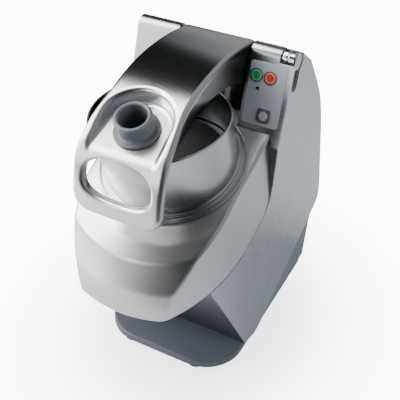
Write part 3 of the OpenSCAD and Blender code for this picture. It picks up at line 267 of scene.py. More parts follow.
class Finish:
    """A material whose nodes are written as expressions."""

    def __init__(self, name, **shader):
        self.material = bpy.data.materials.new(name)
        self.material.use_nodes = True
        self.tree = self.material.node_tree
        self.shader = self.tree.nodes["Principled BSDF"]
        self.place = Link(self, self.tree.nodes.new("ShaderNodeTexCoord").outputs["Object"])
        self.feed(**shader)

    def node(self, kind, settings, *values, out=0, **named):
        """A node of a kind, with its settings and the values or links of its sockets, and the link that it gives."""
        made = self.tree.nodes.new(kind)
        for key, value in settings.items():
            setattr(made, key, value)
        for key, value in list(enumerate(values)) + list(named.items()):
            self._put(made.inputs[key.replace("_", " ") if isinstance(key, str) else key], value)
        return Link(self, made.outputs[out])

    def _put(self, socket, value):
        if isinstance(value, Link):
            self.tree.links.new(value.socket, socket)
        else:
            if socket.type == "RGBA" and len(value) == 3:
                value = (*value, 1)
            socket.default_value = value

    def feed(self, **values):
        for key, value in values.items():
            self._put(self.shader.inputs[key.replace("_", " ")], value)
        return self

    def noise(self, scale, detail=3.0, stretch=(1, 1, 1), turn=NO_TURN, rough=0.55):
        place = self.node("ShaderNodeMapping", {}, Vector=self.place, Scale=stretch, Rotation=turn)
        return self.node("ShaderNodeTexNoise", {}, Vector=place, Scale=scale, Detail=detail, Roughness=rough)

    def color(self, factor, a, b):
        """From a to b by a factor. A Mix node has its colours in sockets 6 and 7 and gives one in its socket 2."""
        made = self.tree.nodes.new("ShaderNodeMix")
        made.data_type = "RGBA"
        for socket, value in ((0, factor), (6, a), (7, b)):
            self._put(made.inputs[socket], value)
        return Link(self, made.outputs[2])

    def bump(self, height, strength):
        normal = self.node("ShaderNodeBump", {}, Height=height, Strength=strength, Distance=BUMP_DISTANCE)
        return self.feed(Normal=normal)


def axis_of(f, which):
    """One coordinate of the surface's own place, in metres."""
    return f.node("ShaderNodeSeparateXYZ", {}, Vector=f.place, out=which)


def length_of(f, vector):
    """How long a vector is."""
    return f.node("ShaderNodeVectorMath", {"operation": "LENGTH"}, vector, out=1)


def rise(f, value, start, end):
    """A factor that goes smoothly from 0 at one value to 1 at another."""
    return f.node("ShaderNodeMapRange", {"interpolation_type": "SMOOTHSTEP"}, value, start, end, 0.0, 1.0)


def steel(name, color, rough=0.3, grain=(1, 1, 60), turn=NO_TURN, grain_size=40.0, grain_bump=0.03, cloud=0.05,
          spread=0.05, shade=None):
    """Brushed or satin steel: fine streaks along one direction in the roughness and bump, and faint clouds. A shade
    is painted shade: a function from the finish to a factor, with the colour that it leads to. Rough may be such
    a function too."""
    f = Finish(name, Metallic=1.0)
    streak = f.noise(grain_size, 4.0, grain, turn, 0.7)
    clouds = f.noise(9.0, 3.0)
    smear = f.noise(38.0, 2.0)
    light = tuple(min(1, c * (1 + cloud)) for c in color)
    dark = tuple(c * (1 - cloud) for c in color)
    base = f.color(streak * 0.5 + clouds * 0.5, dark, light)
    # Painted shade: the base colour is mixed toward the shade's colour where its factor rises
    if shade:
        base = f.color(shade[0](f), base, shade[1])
    gloss = rough(f) if callable(rough) else rough
    f.feed(Base_Color=base, Roughness=(streak - 0.5) * spread + (smear - 0.5) * (spread * 0.4) + gloss)
    f.bump(streak, grain_bump)
    return f.material


def plastic(name, color, rough=0.45, grain=900.0, grain_bump=0.12, wear=0.04, **more):
    """Moulded plastic: a fine spark-eroded grain and a slow change of shade and gloss."""
    f = Finish(name, **more)
    fine = f.noise(grain, 2.0)
    slow = f.noise(14.0, 3.0)
    scuff = f.noise(60.0, 5.0, rough=0.7)
    light = tuple(min(1, c * (1 + 3 * wear)) for c in color)
    dark = tuple(c * (1 - 3 * wear) for c in color)
    f.feed(Base_Color=f.color(slow * 0.6 + scuff * 0.4, dark, light),
           Roughness=rough + (fine - 0.5) * 0.12 + (scuff - 0.5) * 0.1)
    f.bump(fine, grain_bump)
    return f.material


def skirt_shade(f):
    """Painted shade and reflection: the lever's skirts are coloured darker toward the hinge, where they stand in shade
    between the pillars and mirror the dark gap. A skirt is where x squared passes the square of the lever's half
    width, less its rounded edge."""
    top_ends, skirt_starts = 0.0535, 0.0565
    x = axis_of(f, 0)
    side = rise(f, x * x, top_ends**2, skirt_starts**2)
    return side * rise(f, axis_of(f, 1), -0.10, 0.0)


def foot_shade(f):
    """Painted shade: the hopper is coloured darker toward its foot, where it stands in the hood's shade. The height
    that counts is z cos(tilt) - y sin(tilt), which is measured along the disc axis."""
    along = axis_of(f, 2) * math.cos(TILT) - axis_of(f, 1) * math.sin(TILT)
    return rise(f, along, 0.405, 0.335)


def lever_gloss(f):
    """Brushed bright over the arch, and duller on the blasted front end and down the skirts."""
    bright, blasted, in_shade = 0.17, 0.13, 0.2
    return rise(f, axis_of(f, 1), -0.09, -0.18) * blasted + skirt_shade(f) * in_shade + bright


tilt_turn = (-TILT, 0, 0)
casing = steel("casing_satin", (0.64, 0.67, 0.71), 0.27, (1, 40, 1), spread=0.10, grain_bump=0.04)
column = steel("column_polish", (0.47, 0.485, 0.505), 0.24, (1, 60, 60))
hood_finish = steel("hood_satin", (0.64, 0.64, 0.64), 0.30, (1, 1, 1), tilt_turn, 240.0, 0.002, 0.03, 0.03)
# The lever gets a painted shade, nearly black, on its skirts near the hinge
lever_finish = steel("lever_satin", (0.66, 0.665, 0.665), lever_gloss, (60, 1, 1), grain_size=30.0,
                     grain_bump=0.006, cloud=0.03, spread=0.02, shade=(skirt_shade, (0.03, 0.036, 0.04)))
# Painted shade: the hopper tube's colour darkens toward its foot
tube_finish = steel("tube_satin", (0.62, 0.63, 0.645), 0.25, (1, 1, 50), tilt_turn, cloud=0.02, spread=0.03,
                    shade=(foot_shade, (0.20, 0.21, 0.222)))
ring_finish = steel("ring_satin", (0.56, 0.57, 0.585), 0.27, (1, 1, 1), tilt_turn, 240.0, 0.002, 0.02, 0.02)
# Painted shade: a near-black steel for the hopper's inside, which lies in shade
tube_inside_painted_shade = steel("tube_inside_painted_shade", (0.035, 0.042, 0.048), 0.42, (1, 1, 60), tilt_turn)
# Painted shade: a darker copy of the casing steel for the body's front panel, which faces down into shade
front_painted_shade = steel("front_satin_painted_shade", (0.22, 0.235, 0.255), 0.36, (1, 60, 1))
chrome = steel("polished_steel", (0.72, 0.735, 0.755), 0.12, (1, 60, 60), grain_bump=0.01, spread=0.03)
inner_finish = steel("inner_mill", (0.50, 0.51, 0.53), 0.4, (1, 60, 60))
shaft_finish = steel("ground_steel", (0.62, 0.63, 0.65), 0.18, (60, 60, 1), tilt_turn)
disc_finish = steel("disc_ground", (0.70, 0.71, 0.73), 0.2, (60, 1, 1))
cast = steel("cast_alloy", (0.50, 0.51, 0.53), 0.5, (1, 1, 1), NO_TURN, 300.0, 0.3)
bronze = steel("bush_bronze", (0.50, 0.33, 0.14), 0.35, (1, 60, 60))
iron = steel("rotor_iron", (0.17, 0.165, 0.16), 0.5, (1, 1, 60), tilt_turn)
screw_finish = steel("screw_zinc", (0.55, 0.56, 0.58), 0.3, (1, 1, 1), NO_TURN, 500.0, 0.1)
base_finish = plastic("base_slate", (0.075, 0.085, 0.105), 0.42, wear=0.02)
wedge_finish = plastic("wedge_slate", (0.15, 0.165, 0.19), 0.5)
rubber = plastic("foot_rubber", (0.018, 0.018, 0.019), 0.7, 700.0, 0.2)
liner = plastic("gap_black", (0.010, 0.011, 0.013), 0.5)
cup_finish = plastic("cup_grey", (0.105, 0.117, 0.133), 0.36, 1200.0, 0.06, 0.02)
grip_finish = plastic("grip_grey", (0.17, 0.19, 0.22), 0.4)
plate_finish = plastic("plate_dark", (0.03, 0.033, 0.037), 0.45)
film = plastic("panel_film", (0.40, 0.435, 0.475), 0.36, 1500.0, 0.05, 0.02)
start_finish = plastic("start_green", (0.03, 0.42, 0.13), 0.25, 900.0, 0.02, Coat_Weight=0.4)
stop_finish = plastic("stop_red", (0.80, 0.07, 0.02), 0.25, 900.0, 0.02, Coat_Weight=0.4)
pulse_finish = plastic("pulse_grey", (0.50, 0.50, 0.50), 0.3, 900.0, 0.02)
bezel_finish = plastic("bezel_grey", (0.10, 0.105, 0.11), 0.4)
start_pale = plastic("start_pale", (0.16, 0.55, 0.22), 0.35)
start_dark = plastic("start_dark", (0.01, 0.13, 0.04), 0.4)
stop_pale = plastic("stop_pale", (0.85, 0.30, 0.22), 0.35)
stop_dark = plastic("stop_dark", (0.42, 0.02, 0.01), 0.4)
pulse_line = plastic("pulse_line", (0.62, 0.38, 0.40), 0.4)
pulse_blue = plastic("pulse_blue", (0.30, 0.36, 0.38), 0.4)
black_gloss = plastic("lens_black", (0.012, 0.012, 0.013), 0.15)
board_finish = plastic("board_green", (0.015, 0.10, 0.04), 0.4)
ejector_finish = plastic("ejector_white", (0.68, 0.69, 0.70), 0.4)
can_finish = steel("can_alloy", (0.62, 0.63, 0.64), 0.3, (60, 60, 1))

FINISHES = {
    "casing_steel": casing, "column_steel": column, "hood_steel": hood_finish, "lever_steel": lever_finish,
    "inner_steel": inner_finish, "base_plastic": base_finish, "wedge_plastic": wedge_finish,
    "foot_rubber": rubber, "seal_rubber": rubber, "belt_rubber": rubber, "liner_plastic": liner,
    "cup_plastic": cup_finish, "grip_plastic": grip_finish, "pusher_plastic": plate_finish,
    "panel_film": film, "start_green": start_finish, "stop_red": stop_finish, "pulse_grey": pulse_finish,
    "lens_dark": black_gloss, "board_green": board_finish, "bush_bronze": bronze, "bearing_steel": shaft_finish,
    "shaft_steel": shaft_finish, "disc_steel": disc_finish, "ejector_plastic": ejector_finish,
    "cast_alloy": cast, "motor_alloy": cast, "rotor_iron": iron, "screw_steel": screw_finish,
    "magnet_black": liner, "capacitor_can": can_finish,
}
slots = {part["node"]: part["material_slot"] for part in frame["record"]["subparts"]}
# The body's front panel takes the darker steel with painted shade in place of its slot's finish
for name, node in frame["nodes"].items():
    node.data.materials.clear()
    node.data.materials.append(front_painted_shade if name == "front_panel" else FINISHES[slots[name]])

# ---------------------------------------------------------------- lever

REACH, RISE, DROP = 283.0, 23.0, 135.0
# The side view lines of the lever's top and of its skirts' lower edge, as shares of its reach and of its height
TOP_SHARES = [(0.053, 0.962), (0.152, 0.987), (0.293, 1), (0.435, 0.987), (0.576, 0.943), (0.689, 0.873),
              (0.788, 0.785), (0.866, 0.684), (0.915, 0.612), (0.947, 0.532), (0.972, 0.43), (0.989, 0.304),
              (1, 0.152), (1, 0)]
LOW_SHARES = [(0.961, 0), (0.958, 0.152), (0.947, 0.291), (0.926, 0.43), (0.898, 0.545), (0.868, 0.618),
              (0.823, 0.655), (0.717, 0.69), (0.594, 0.728), (0.47, 0.747), (0.346, 0.741), (0.223, 0.696),
              (0.117, 0.627), (0.053, 0.601)]
# The share of the reach, and there the share of the way from the lever's half width to the grip's
WIDEN = [(0.64, 0), (0.69, 0.03), (0.728, 0.11), (0.763, 0.33), (0.806, 0.6), (0.876, 0.83), (0.961, 1)]
LEVER_HALF, GRIP_HALF, GRIP_CORNER, LEVER_T = 57.0, 66.0, 27.0, 3.0
HUB_START, HUB_STOP, HUB_DEPTH = 16, 100, 12
TOP_EDGE, CUT_EDGE, SKIRT_EDGE = 6.5, 5.0, 1.2
FLOOR_H, RECESS_R, TUBE_S, TUBE_HOLE = 123.63, 45.5, -50.0, 29.6
RECESS_FRONT, RECESS_FRONT_HALF, RECESS_DRAFT, RECESS_EDGE = -101, 49.0, 0.24, 3.5
FINGER_HALF, FINGER_RISE, FINGER_SHARE, FINGER_POWER = 50.0, 27.0, 0.335, 2.6
FINGER_LEAN = math.radians(8)
SKIN_STEP = 1.4


def side_shares(shares):
    """Side view points (y, z) from shares of the lever's reach and height."""
    q = np.asarray(shares, float)
    return np.stack([HINGE[1] - q[:, 0] * REACH, HINGE[2] - DROP + q[:, 1] * (DROP + RISE)], -1)


def even(points, step):
    """The same line with points a fixed distance apart, and how far along it each of them is."""
    way = np.concatenate([[0], np.cumsum(np.linalg.norm(np.diff(points, axis=0), axis=1))])
    at = np.linspace(0, way[-1], int(way[-1] / step) + 1)
    return np.stack([np.interp(at, way, points[:, n]) for n in (0, 1)], -1), at


def blur(points, times):
    """The line smoothed by a running mean, with its ends kept."""
    for _ in range(times):
        points = np.vstack([points[:1], (points[:-2] + 2 * points[1:-1] + points[2:]) / 4, points[-1:]])
    return points


def skirt_depths(line, tangent, inward, u_line, hub_end):
    """How deep the skirts hang under the top line, as places u along it and depths there: each point of their lower
    edge is paired with the point of the top line that it lies most squarely under, within a reach."""
    reach, barred = 70, 999
    low = even(curve(side_shares(LOW_SHARES)), 1.0)[0]
    gap = low[:, None, :] - line[None]
    off = np.abs((gap * tangent).sum(-1)) + np.where(np.abs((gap * inward).sum(-1)) > reach, barred, 0)
    best = off.argmin(1)
    depth = (gap[np.arange(len(low)), best] * inward[best]).sum(-1)
    order = np.argsort(u_line[best])
    u_low, depth = u_line[best][order], depth[order]
    keep = (depth > 5) & (u_low > hub_end + 4)
    return np.concatenate([[0, hub_end], u_low[keep]]), np.concatenate([[HUB_DEPTH, HUB_DEPTH], depth[keep]])


def make_lever():
    """A pressed steel channel worked out in the lever's own unrolled space: u runs along the side view line of its
    top from the hub to the handle's end, x across, and t down from the skin. A filled block with rounded edges
    loses the recess and the finger opening, and only its outer skin of 3 mm is kept, down to the skirts' edge."""
    hub = arc(HINGE[1], HINGE[2], ROLL_R, HUB_START, HUB_STOP, 24)
    line, u_line = even(np.vstack([hub, curve(side_shares(TOP_SHARES))]), 0.5)
    line = blur(line, 60)
    tangent = np.gradient(line, axis=0)
    tangent /= np.linalg.norm(tangent, axis=1)[:, None]
    inward = np.stack([-tangent[:, 1], tangent[:, 0]], -1)
    hub_end = math.radians(HUB_STOP - HUB_START) * ROLL_R
    length = u_line[-1]
    u_low, depth = skirt_depths(line, tangent, inward, u_line, hub_end)
    widen = np.asarray(WIDEN)
    grip = np.interp((HINGE[1] - line[:, 0]) / REACH, widen[:, 0], widen[:, 1])
    half_line = np.where(u_line > hub_end, LEVER_HALF + (GRIP_HALF - LEVER_HALF) * grip, LEVER_HALF)
    soft = 40
    mean = np.ones(2 * soft + 1) / (2 * soft + 1)
    half_line = np.convolve(np.pad(half_line, soft, mode="edge"), mean, "valid")
    finger_y, finger_z = HINGE[1] - REACH + LEVER_T, HINGE[2] - DROP + FINGER_SHARE * (DROP + RISE)

    def place(u, t):
        """The side view point at u along the top line and t under it."""
        return (np.interp(u, u_line, line[:, n]) + t * np.interp(u, u_line, inward[:, n]) for n in (0, 1))

    def recess_distance(x, s, h):
        """The recess over the seat: an arch round the tube and straight sides in front of it, with draft."""
        grown = RECESS_DRAFT * np.clip(h - FLOOR_H, 0, 30)
        arch = np.hypot(x, np.maximum(s - TUBE_S, 0)) - RECESS_R - grown
        rail = np.abs(x) - np.interp(s, [RECESS_FRONT, TUBE_S], [RECESS_FRONT_HALF, RECESS_R]) - grown
        plan = np.where(s > TUBE_S, arch, rail) * 0.93
        return round_max(plan, FLOOR_H - h, RECESS_EDGE)

    def finger_distance(u, x, y, z):
        """The finger opening, an oval |x|^p + |up|^p = 1: how far a point is outside, over the slope there. It cuts
        the front end only."""
        up = (z - finger_z) * math.cos(FINGER_LEAN) - (y - finger_y) * math.sin(FINGER_LEAN)
        power = FINGER_POWER
        ax, az = np.abs(x) / FINGER_HALF, np.abs(up) / FINGER_RISE
        ring = (ax**power + az**power) ** (1 / power)
        slope = np.hypot(ax ** (power - 1) / FINGER_HALF, az ** (power - 1) / FINGER_RISE)
        slope = slope / np.maximum(ring, 0.05) ** (power - 1)
        return np.where(u > length * 0.6, (ring - 1) / np.maximum(slope, 0.005), 60)

    def field(u, x, t):
        half = np.interp(u, u_line, half_line)
        qx, qu = np.abs(x) - (half - GRIP_CORNER), u - (length - GRIP_CORNER)
        outline = np.hypot(np.maximum(qx, 0), np.maximum(qu, 0)) + np.minimum(np.maximum(qx, qu), 0) - GRIP_CORNER
        block = round_max(outline, -t, TOP_EDGE)
        y, z = place(u, t)
        s, h = seat_sides(y, z)
        recess = recess_distance(x, s, h)
        filled = round_max(round_max(block, -recess, CUT_EDGE), -finger_distance(u, x, y, z), CUT_EDGE)
        skin = np.maximum(filled, -filled - LEVER_T)
        skirt = t - np.interp(u, u_low, depth)
        skin = round_max(skin, np.minimum(skirt, recess - LEVER_T), SKIRT_EDGE)
        tube = TUBE_HOLE - np.hypot(x, s - TUBE_S)
        return np.maximum(np.maximum(skin, np.where(u > hub_end + 20, tube, -99)), -u)

    wide, above, below = 68.6, 2.0, 62.0
    points, quads = net(field, (-1.0, -wide, -above), (length + 2, wide, below), SKIN_STEP)
    u, x, t = points.T
    y, z = place(u, t)
    return mesh_piece("lever_skin", "press_lever", np.stack([x, y, z], -1), quads[:, ::-1],
                      lever_finish, ("lever",))


make_lever()


# ---------------------------------------------------------------- feed head

HOOD_DEPTH, HOOD_T, HOOD_BORE, BAND_SLOPE, HOOD_EDGE, SLIT_GAP = 96.0, 2.5, 96.0, 0.15, 3.5, 2.0
SIDE_R, SIDE_START = 233.0, -40.0
TONGUE_HALF, TONGUE_S, TONGUE_TOP, TONGUE_POINTS = 57.0, 118.0, -0.03, 41
HOPPER_R, HOPPER_T, RIM_H, RIM_FRONT_H, RIM_SLOPE = 94.4, 1.5, 101.0, 117.0, math.radians(17.5)
# The profile of the hood's top, as (distance from the disc axis, height over the seat)
HOOD_LINE = [(0, 0), (110.7, 0), (135.3, -7.5), (157.8, -17.2), (173.8, -37), (187, -54.7), (198, -76.8), (205, -96),
             (211, -118)]
# Sections of the hood: behind and beside the disc axis on either side, and round its front. Rays in each section
REAR_ROWS, SIDE_ROWS, FRONT_ROWS, RAYS = 26, 34, 181, 96
TURN_STEPS = 240


def column_edge():
    """The side view line (s, h) of the column's face and of the slit below it, down to the deck."""
    lean = FACE_LEAN
    start = HINGE[1:] + ROLL_R * np.array([-math.cos(lean), math.sin(lean)])
    way = np.array([-math.sin(lean), -math.cos(lean)])
    s0, h0 = seat_sides(*start)
    run = (h0 + 0.163 * (HOOD_DEPTH + SLIT_GAP)) / math.cos(lean + TILT)
    foot = np.array(seat_sides(*(start + way * run)))
    deck = -(HOOD_DEPTH + SLIT_GAP)
    shares = [(0.62, 0.755), (0.43, 0.93), (0.2, 1)]
    slit = curve(np.array([foot] + [(a * foot[0], b * deck) for a, b in shares]))
    return np.vstack([[s0, h0], slit, [[-130.0, deck]]])


def back_edge(line, gap):
    """The same side view line moved off the casing by a gap, as (s, h) pairs with s rising."""
    way = np.gradient(line, axis=0)
    way /= np.linalg.norm(way, axis=1)[:, None]
    moved = (line + gap * np.stack([way[:, 1], -way[:, 0]], -1))[:-1]
    return moved[np.argsort(moved[:, 0])]


def make_hood():
    """The hood in seat coordinates. Its outside is where a signed distance is zero: a profile turned about the disc
    axis in front of it and drawn straight back behind it, cut by two leaning sides that draw in toward the front,
    with the common crease rounded. Sections radiate from the axis in front and run across behind it; on each, rays
    from a point under the wall find the outside and the inside 2.5 mm under it, and the slit along the casing ends
    them. A flat tongue goes on between the pillars."""
    line = np.array(HOOD_LINE)
    r_fine = np.arange(0, line[-1, 0], 0.5)
    h_fine = np.interp(r_fine, line[:, 0], line[:, 1])
    window = np.hanning(19)[1:-1]
    h_fine = np.convolve(np.pad(h_fine, len(window) // 2, mode="edge"), window / window.sum(), "valid")
    lean = np.sqrt(1 + np.gradient(h_fine, r_fine) ** 2)
    under, farthest, halvings = 24.0, 240.0, 30

    def block(x, s, h):
        ax = np.abs(x)
        r = np.hypot(ax, np.minimum(s, 0))
        top = (h - np.interp(r, r_fine, h_fine)) / np.interp(r, r_fine, lean)
        half = HALF_W - BAND_SLOPE * (h + HOOD_DEPTH)
        side = np.where(s > SIDE_START, ax - half,
                        np.hypot(ax + SIDE_R - HALF_W, s - SIDE_START) - (SIDE_R - HALF_W + half)) * 0.989
        return round_max(top, side, HOOD_EDGE)

    edge = back_edge(column_edge(), SLIT_GAP)
    top_end, middle = np.interp(0.0, edge[:, 1], edge[:, 0]), 70
    s_rows = np.concatenate([np.linspace(top_end, middle, REAR_ROWS, endpoint=False),
                             np.linspace(middle, 0, SIDE_ROWS, endpoint=False)])
    turn = np.linspace(0, -np.pi, FRONT_ROWS)
    fan = np.stack([np.cos(turn), np.sin(turn)], -1)
    across = np.repeat([[1.0, 0.0]], len(s_rows), 0)
    way = np.concatenate([across, fan, -across])
    inner = np.sqrt(HOOD_BORE**2 - s_rows**2)
    centre = np.concatenate([np.stack([inner + under, s_rows], -1), (HOOD_BORE + under) * fan,
                             np.stack([-inner - under, s_rows], -1)[::-1]])
    stop_h = np.where(s_rows > edge[0, 0], np.interp(s_rows, edge[:, 0], edge[:, 1]), -HOOD_DEPTH)
    stop_h = np.maximum(stop_h, -HOOD_DEPTH)
    stop_h = np.concatenate([stop_h, np.full(FRONT_ROWS, -HOOD_DEPTH), stop_h[::-1]])

    def along_ray(angle, t):
        """The points (x, s, h) at t along each section's rays, which rise from its centre at an angle."""
        flat = t * np.cos(angle)
        return centre[:, :1] + way[:, :1] * flat, centre[:, 1:] + way[:, 1:] * flat, -HOOD_DEPTH + t * np.sin(angle)

    def shoot(angle, level):
        """Where each ray meets the surface at a level of the distance, found by halving."""
        near, far = np.zeros(angle.shape), np.full(angle.shape, farthest)
        for _ in range(halvings):
            t = (near + far) / 2
            inside = block(*along_ray(angle, t)) < level
            near, far = np.where(inside, t, near), np.where(inside, far, t)
        return np.stack(along_ray(angle, near), -1)

    dense = np.linspace(0, math.atan2(HOOD_DEPTH, -under), 500)
    first = shoot(np.repeat(dense[None], len(way), 0), 0.0)
    length = np.concatenate([np.zeros((len(way), 1)), np.cumsum(np.linalg.norm(np.diff(first, axis=1), axis=2), 1)], 1)
    angles = []
    for heights, run, stop in zip(first[..., 2], length, stop_h):
        begin = np.interp(stop, np.maximum.accumulate(heights), run) if stop > -HOOD_DEPTH + 0.01 else 0.0
        at = np.concatenate([[begin, begin + 0.7], np.linspace(begin + 2, run[-1], RAYS - 2)])
        angles.append(np.interp(at, run, dense))
    angles = np.array(angles)
    outside, inside = shoot(angles, 0.0), shoot(angles, -HOOD_T)
    rim = (outside[:, :1] + inside[:, :1]) / 2
    section = np.concatenate([rim, outside[:, 1:], inside[:, :0:-1]], 1)
    count = section.shape[1]
    faces = [grid_faces(len(way), count, False, True, flip=True)]
    k = np.arange(RAYS - 2)
    for row, turned in ((0, False), (len(way) - 1, True)):
        cap = row * count + np.stack([1 + k, 2 + k, count - 2 - k, count - 1 - k], -1)
        nose = row * count + np.array([[0, 1, count - 1]])
        faces += [cap[:, ::-1], nose[:, ::-1]] if turned else [cap, nose]

    x = np.linspace(-TONGUE_HALF, TONGUE_HALF, TONGUE_POINTS)
    front = np.maximum(np.sqrt(np.maximum(HOOD_BORE**2 - x**2, 0)), top_end - 2)
    outline = np.concatenate([np.stack([x, front], -1), [[TONGUE_HALF, TONGUE_S], [-TONGUE_HALF, TONGUE_S]]])
    n = len(outline)
    plate = np.concatenate([np.column_stack([outline, np.full(n, h)]) for h in (TONGUE_TOP, -HOOD_T)])
    base = len(way) * count
    i, j = around(n)
    faces.append(base + np.stack([i, i + n, j + n, j], -1))
    k = np.arange(TONGUE_POINTS - 1)
    strip = base + np.stack([k, k + 1, np.full(len(k), n - 2)], -1)
    closing = base + np.array([[0, n - 2, n - 1]])
    faces += [strip, closing, strip[:, ::-1] + n, closing[:, ::-1] + n]
    points = np.concatenate([section.reshape(-1, 3), plate])
    return mesh_piece("hood_shell", "feed_head", seat_point(*points.T), faces, hood_finish, ("hood",))


make_hood()


def make_hopper():
    """The hopper tube: at each angle round the disc axis, the wall's section runs up outside, round a rolled edge
    at the rim's height there, and down inside. The rim's plane leans, and its front part is level."""
    wall, roll = 14, 12
    soft, low, short = 6.0, -9.0, 0.985
    turn = np.linspace(0, 2 * np.pi, TURN_STEPS, endpoint=False)
    lean = RIM_H - np.tan(RIM_SLOPE) * (HOPPER_R * np.sin(turn))
    rim = -soft * np.log(np.exp(-lean / soft) + np.exp(-RIM_FRONT_H / soft))
    edge = arc(HOPPER_R - 0.3, 0, 1.5, -50, 230, roll)
    up = np.linspace(0, 1, wall)
    radius = np.concatenate([np.full(wall, HOPPER_R), edge[:, 0], np.full(wall, HOPPER_R - HOPPER_T)])
    share = np.concatenate([up, np.ones(roll), up[::-1]])
    lift = np.concatenate([np.zeros(wall), edge[:, 1], np.zeros(wall)])
    top = rim[:, None] - 1.6
    h = low + (top - low) * share[None] * np.where(share[None] < 1, short, 1) + lift[None]
    points = seat_point(radius[None] * np.cos(turn)[:, None], radius[None] * np.sin(turn)[:, None], h)
    # Painted shade: the inside of the wall, from the rolled edge down, takes the near-black steel
    inside = np.tile(np.arange(len(radius)) >= wall + roll - 2, len(turn))
    return mesh_piece("hopper_wall", "feed_head", points.reshape(-1, 3),
                      grid_faces(len(turn), len(radius), True, True), tube_finish, ("hopper_tube",),
                      second=(tube_inside_painted_shade, inside))


def make_ring():
    """The ring round the hopper's foot: a flat foot with a rounded outer bead, a shallow groove and an inner bead
    that runs up against the tube, turned about the disc axis."""
    outer = arc(105.7, 1.75, 1.75, -90, 100, 12)
    groove = [(103.6, 2.6), (102.6, 2.2), (101.4, 2.6)]
    inner = arc(98.6, 3.6, 2.2, 20, 120, 10)
    fillet = [(96.6, 5.6), (95.4, 6.6), (94.6, 7.5)]
    profile = np.vstack([[(94.45, 0.02), (104.5, 0.02)], outer, groove, inner, fillet, [(94.45, 7.5)]])
    verts, faces = lathe(profile, SEAT, UP, ACROSS, TURN_STEPS)
    return mesh_piece("hopper_bead", "feed_head", verts, faces, ring_finish, ("hopper_ring",))


make_hopper()
make_ring()


def make_cup():
    """The cup pusher: one closed profile turned about its own axis, from the closed foot up its wall, over the
    flange with rounded edges, up the neck and over the thick rolled lip, then down the bore to its floor."""
    flange_r, rim_r, body_r, cup_h = 31.0, 25.3, 27.1, 29.0
    foot, floor = -112.0, -90.0
    profile = np.vstack([
        [(0.0, foot)], arc(body_r - 3, foot + 3, 3, -90, 0, 6), [(body_r, -1.0)],
        arc(flange_r - 1.2, 1.2, 1.2, -90, 0, 6), arc(flange_r - 1.8, 2.6, 1.8, 0, 90, 6),
        arc(24.9, 7.2, 2.8, -90, -180, 7), [(22.1, 21.5)],
        arc(rim_r - 3.3, cup_h - 3.3, 3.3, -75, 180, 22), [(18.6, 20.0), (18.4, floor + 4)],
        arc(14.4, floor + 4, 4, 0, -90, 6), [(0.0, floor)]])
    verts, faces = lathe(profile, seat_point(0, TUBE_S, FLOOR_H + 0.4), UP, ACROSS, 128)
    return mesh_piece("cup_body", "cup_pusher_body", verts, faces, cup_finish, ("cup_pusher",))


make_cup()


def make_pin_grip():
    """The hinge pin's grip, turned about the hinge: a polished sleeve with a shallow groove and a rounded end."""
    start, r, end = HALF_W - 20.5, 14.0, 19.5
    profile = np.vstack([[(0, 0), (r - 0.8, 0)], arc(r - 0.8, 0.8, 0.8, -90, 0, 5), [(r, 6.2)],
                         arc(r + 0.3, 7.7, 1.5, -100, -260, 9), [(r, 10.2), (r, 15.0)],
                         arc(r - 2.6, end - 2.6, 2.6, 0, 90, 9), [(0, end)]])
    verts, faces = lathe(profile, np.array([start, HINGE[1], HINGE[2]]), ACROSS, np.array([0.0, 1.0, 0]), 96)
    return mesh_piece("grip_sleeve", "pin_body", verts, faces, chrome, ("pin_grip",))


make_pin_grip()

# ---------------------------------------------------------------- controls

# The middle of the column face's top edge, its way up and its way out
FACE = np.array([0.0, HINGE[1] - ROLL_R * math.cos(FACE_LEAN), HINGE[2] + ROLL_R * math.sin(FACE_LEAN)])
FACE_UP = np.array([0.0, math.sin(FACE_LEAN), math.cos(FACE_LEAN)])
FACE_OUT = np.array([0.0, -math.cos(FACE_LEAN), math.sin(FACE_LEAN)])
# The middle of each, as x across and a run up from that edge
BUTTONS = {"start": (74.0, -29.0), "stop": (95.0, -29.0), "pulse": (95.0, -84.0), "lens": (79.0, -47.0)}
KEY_STEPS = 64


def on_face(name, body, slot, at, profile, material, replaces=(), shape=None):
    """A turned piece that stands on the column's face, with its axis out of the face."""
    x, run = at
    verts, faces = lathe(profile, FACE + x * ACROSS + run * FACE_UP, FACE_OUT, ACROSS, KEY_STEPS, shape)
    return mesh_piece(name, body, verts, faces, material, replaces)


def band(r0, r1, z0, z1, edge=0.3):
    """The profile of a flat ring with two rounded upper edges."""
    return np.vstack([[(r0, z0), (r1, z0)], arc(r1 - edge, z1 - edge, edge, 0, 90, 5),
                      arc(r0 + edge, z1 - edge, edge, 90, 180, 5)])


def key_cap(foot_r, wall_r, *dish):
    """The profile of a key's cap: a foot behind the panel, a straight wall, a rounded edge and a dished top."""
    return np.vstack([[(0, -3.3), (foot_r, -3.3), (foot_r, -2.3), (wall_r, -2.3)],
                      arc(wall_r - 1.0, 2.1, 1.0, 0, 90, 7), dish])


def squared(half, corner):
    """How far a square with rounded corners reaches in each direction: half times (|cos|^p + |sin|^p)^(-1/p), where
    p goes from 12 for the sharpest corner to 2 for a circle."""
    power = 2 + 10 * (1 - corner)
    return lambda turn: (np.abs(np.cos(turn)) ** power + np.abs(np.sin(turn)) ** power) ** (-1 / power) * half


def bar(turn):
    """How far an upright bar of half width 0.75 and half height 3.6 reaches in each direction."""
    return 1 / np.maximum(np.abs(np.cos(turn)) / 0.75, np.abs(np.sin(turn)) / 3.6)


def make_round_button(name, body, slot, material, pale):
    """A round key, with a pale ring near its edge and a dark bezel ring on the panel round it."""
    at = BUTTONS[name]
    on_face(name + "_cap", body, slot, at, key_cap(9.5, 8.0, (5.6, 2.86), (0, 2.7)), material, (name + "_button",))
    on_face(name + "_cap_ring", body, slot, at, band(6.1, 7.3, 2.6, 3.16, 0.15), pale)
    on_face(name + "_bezel", "casing", "panel_film", at, band(8.45, 9.7, 1.4, 2.3), bezel_finish)


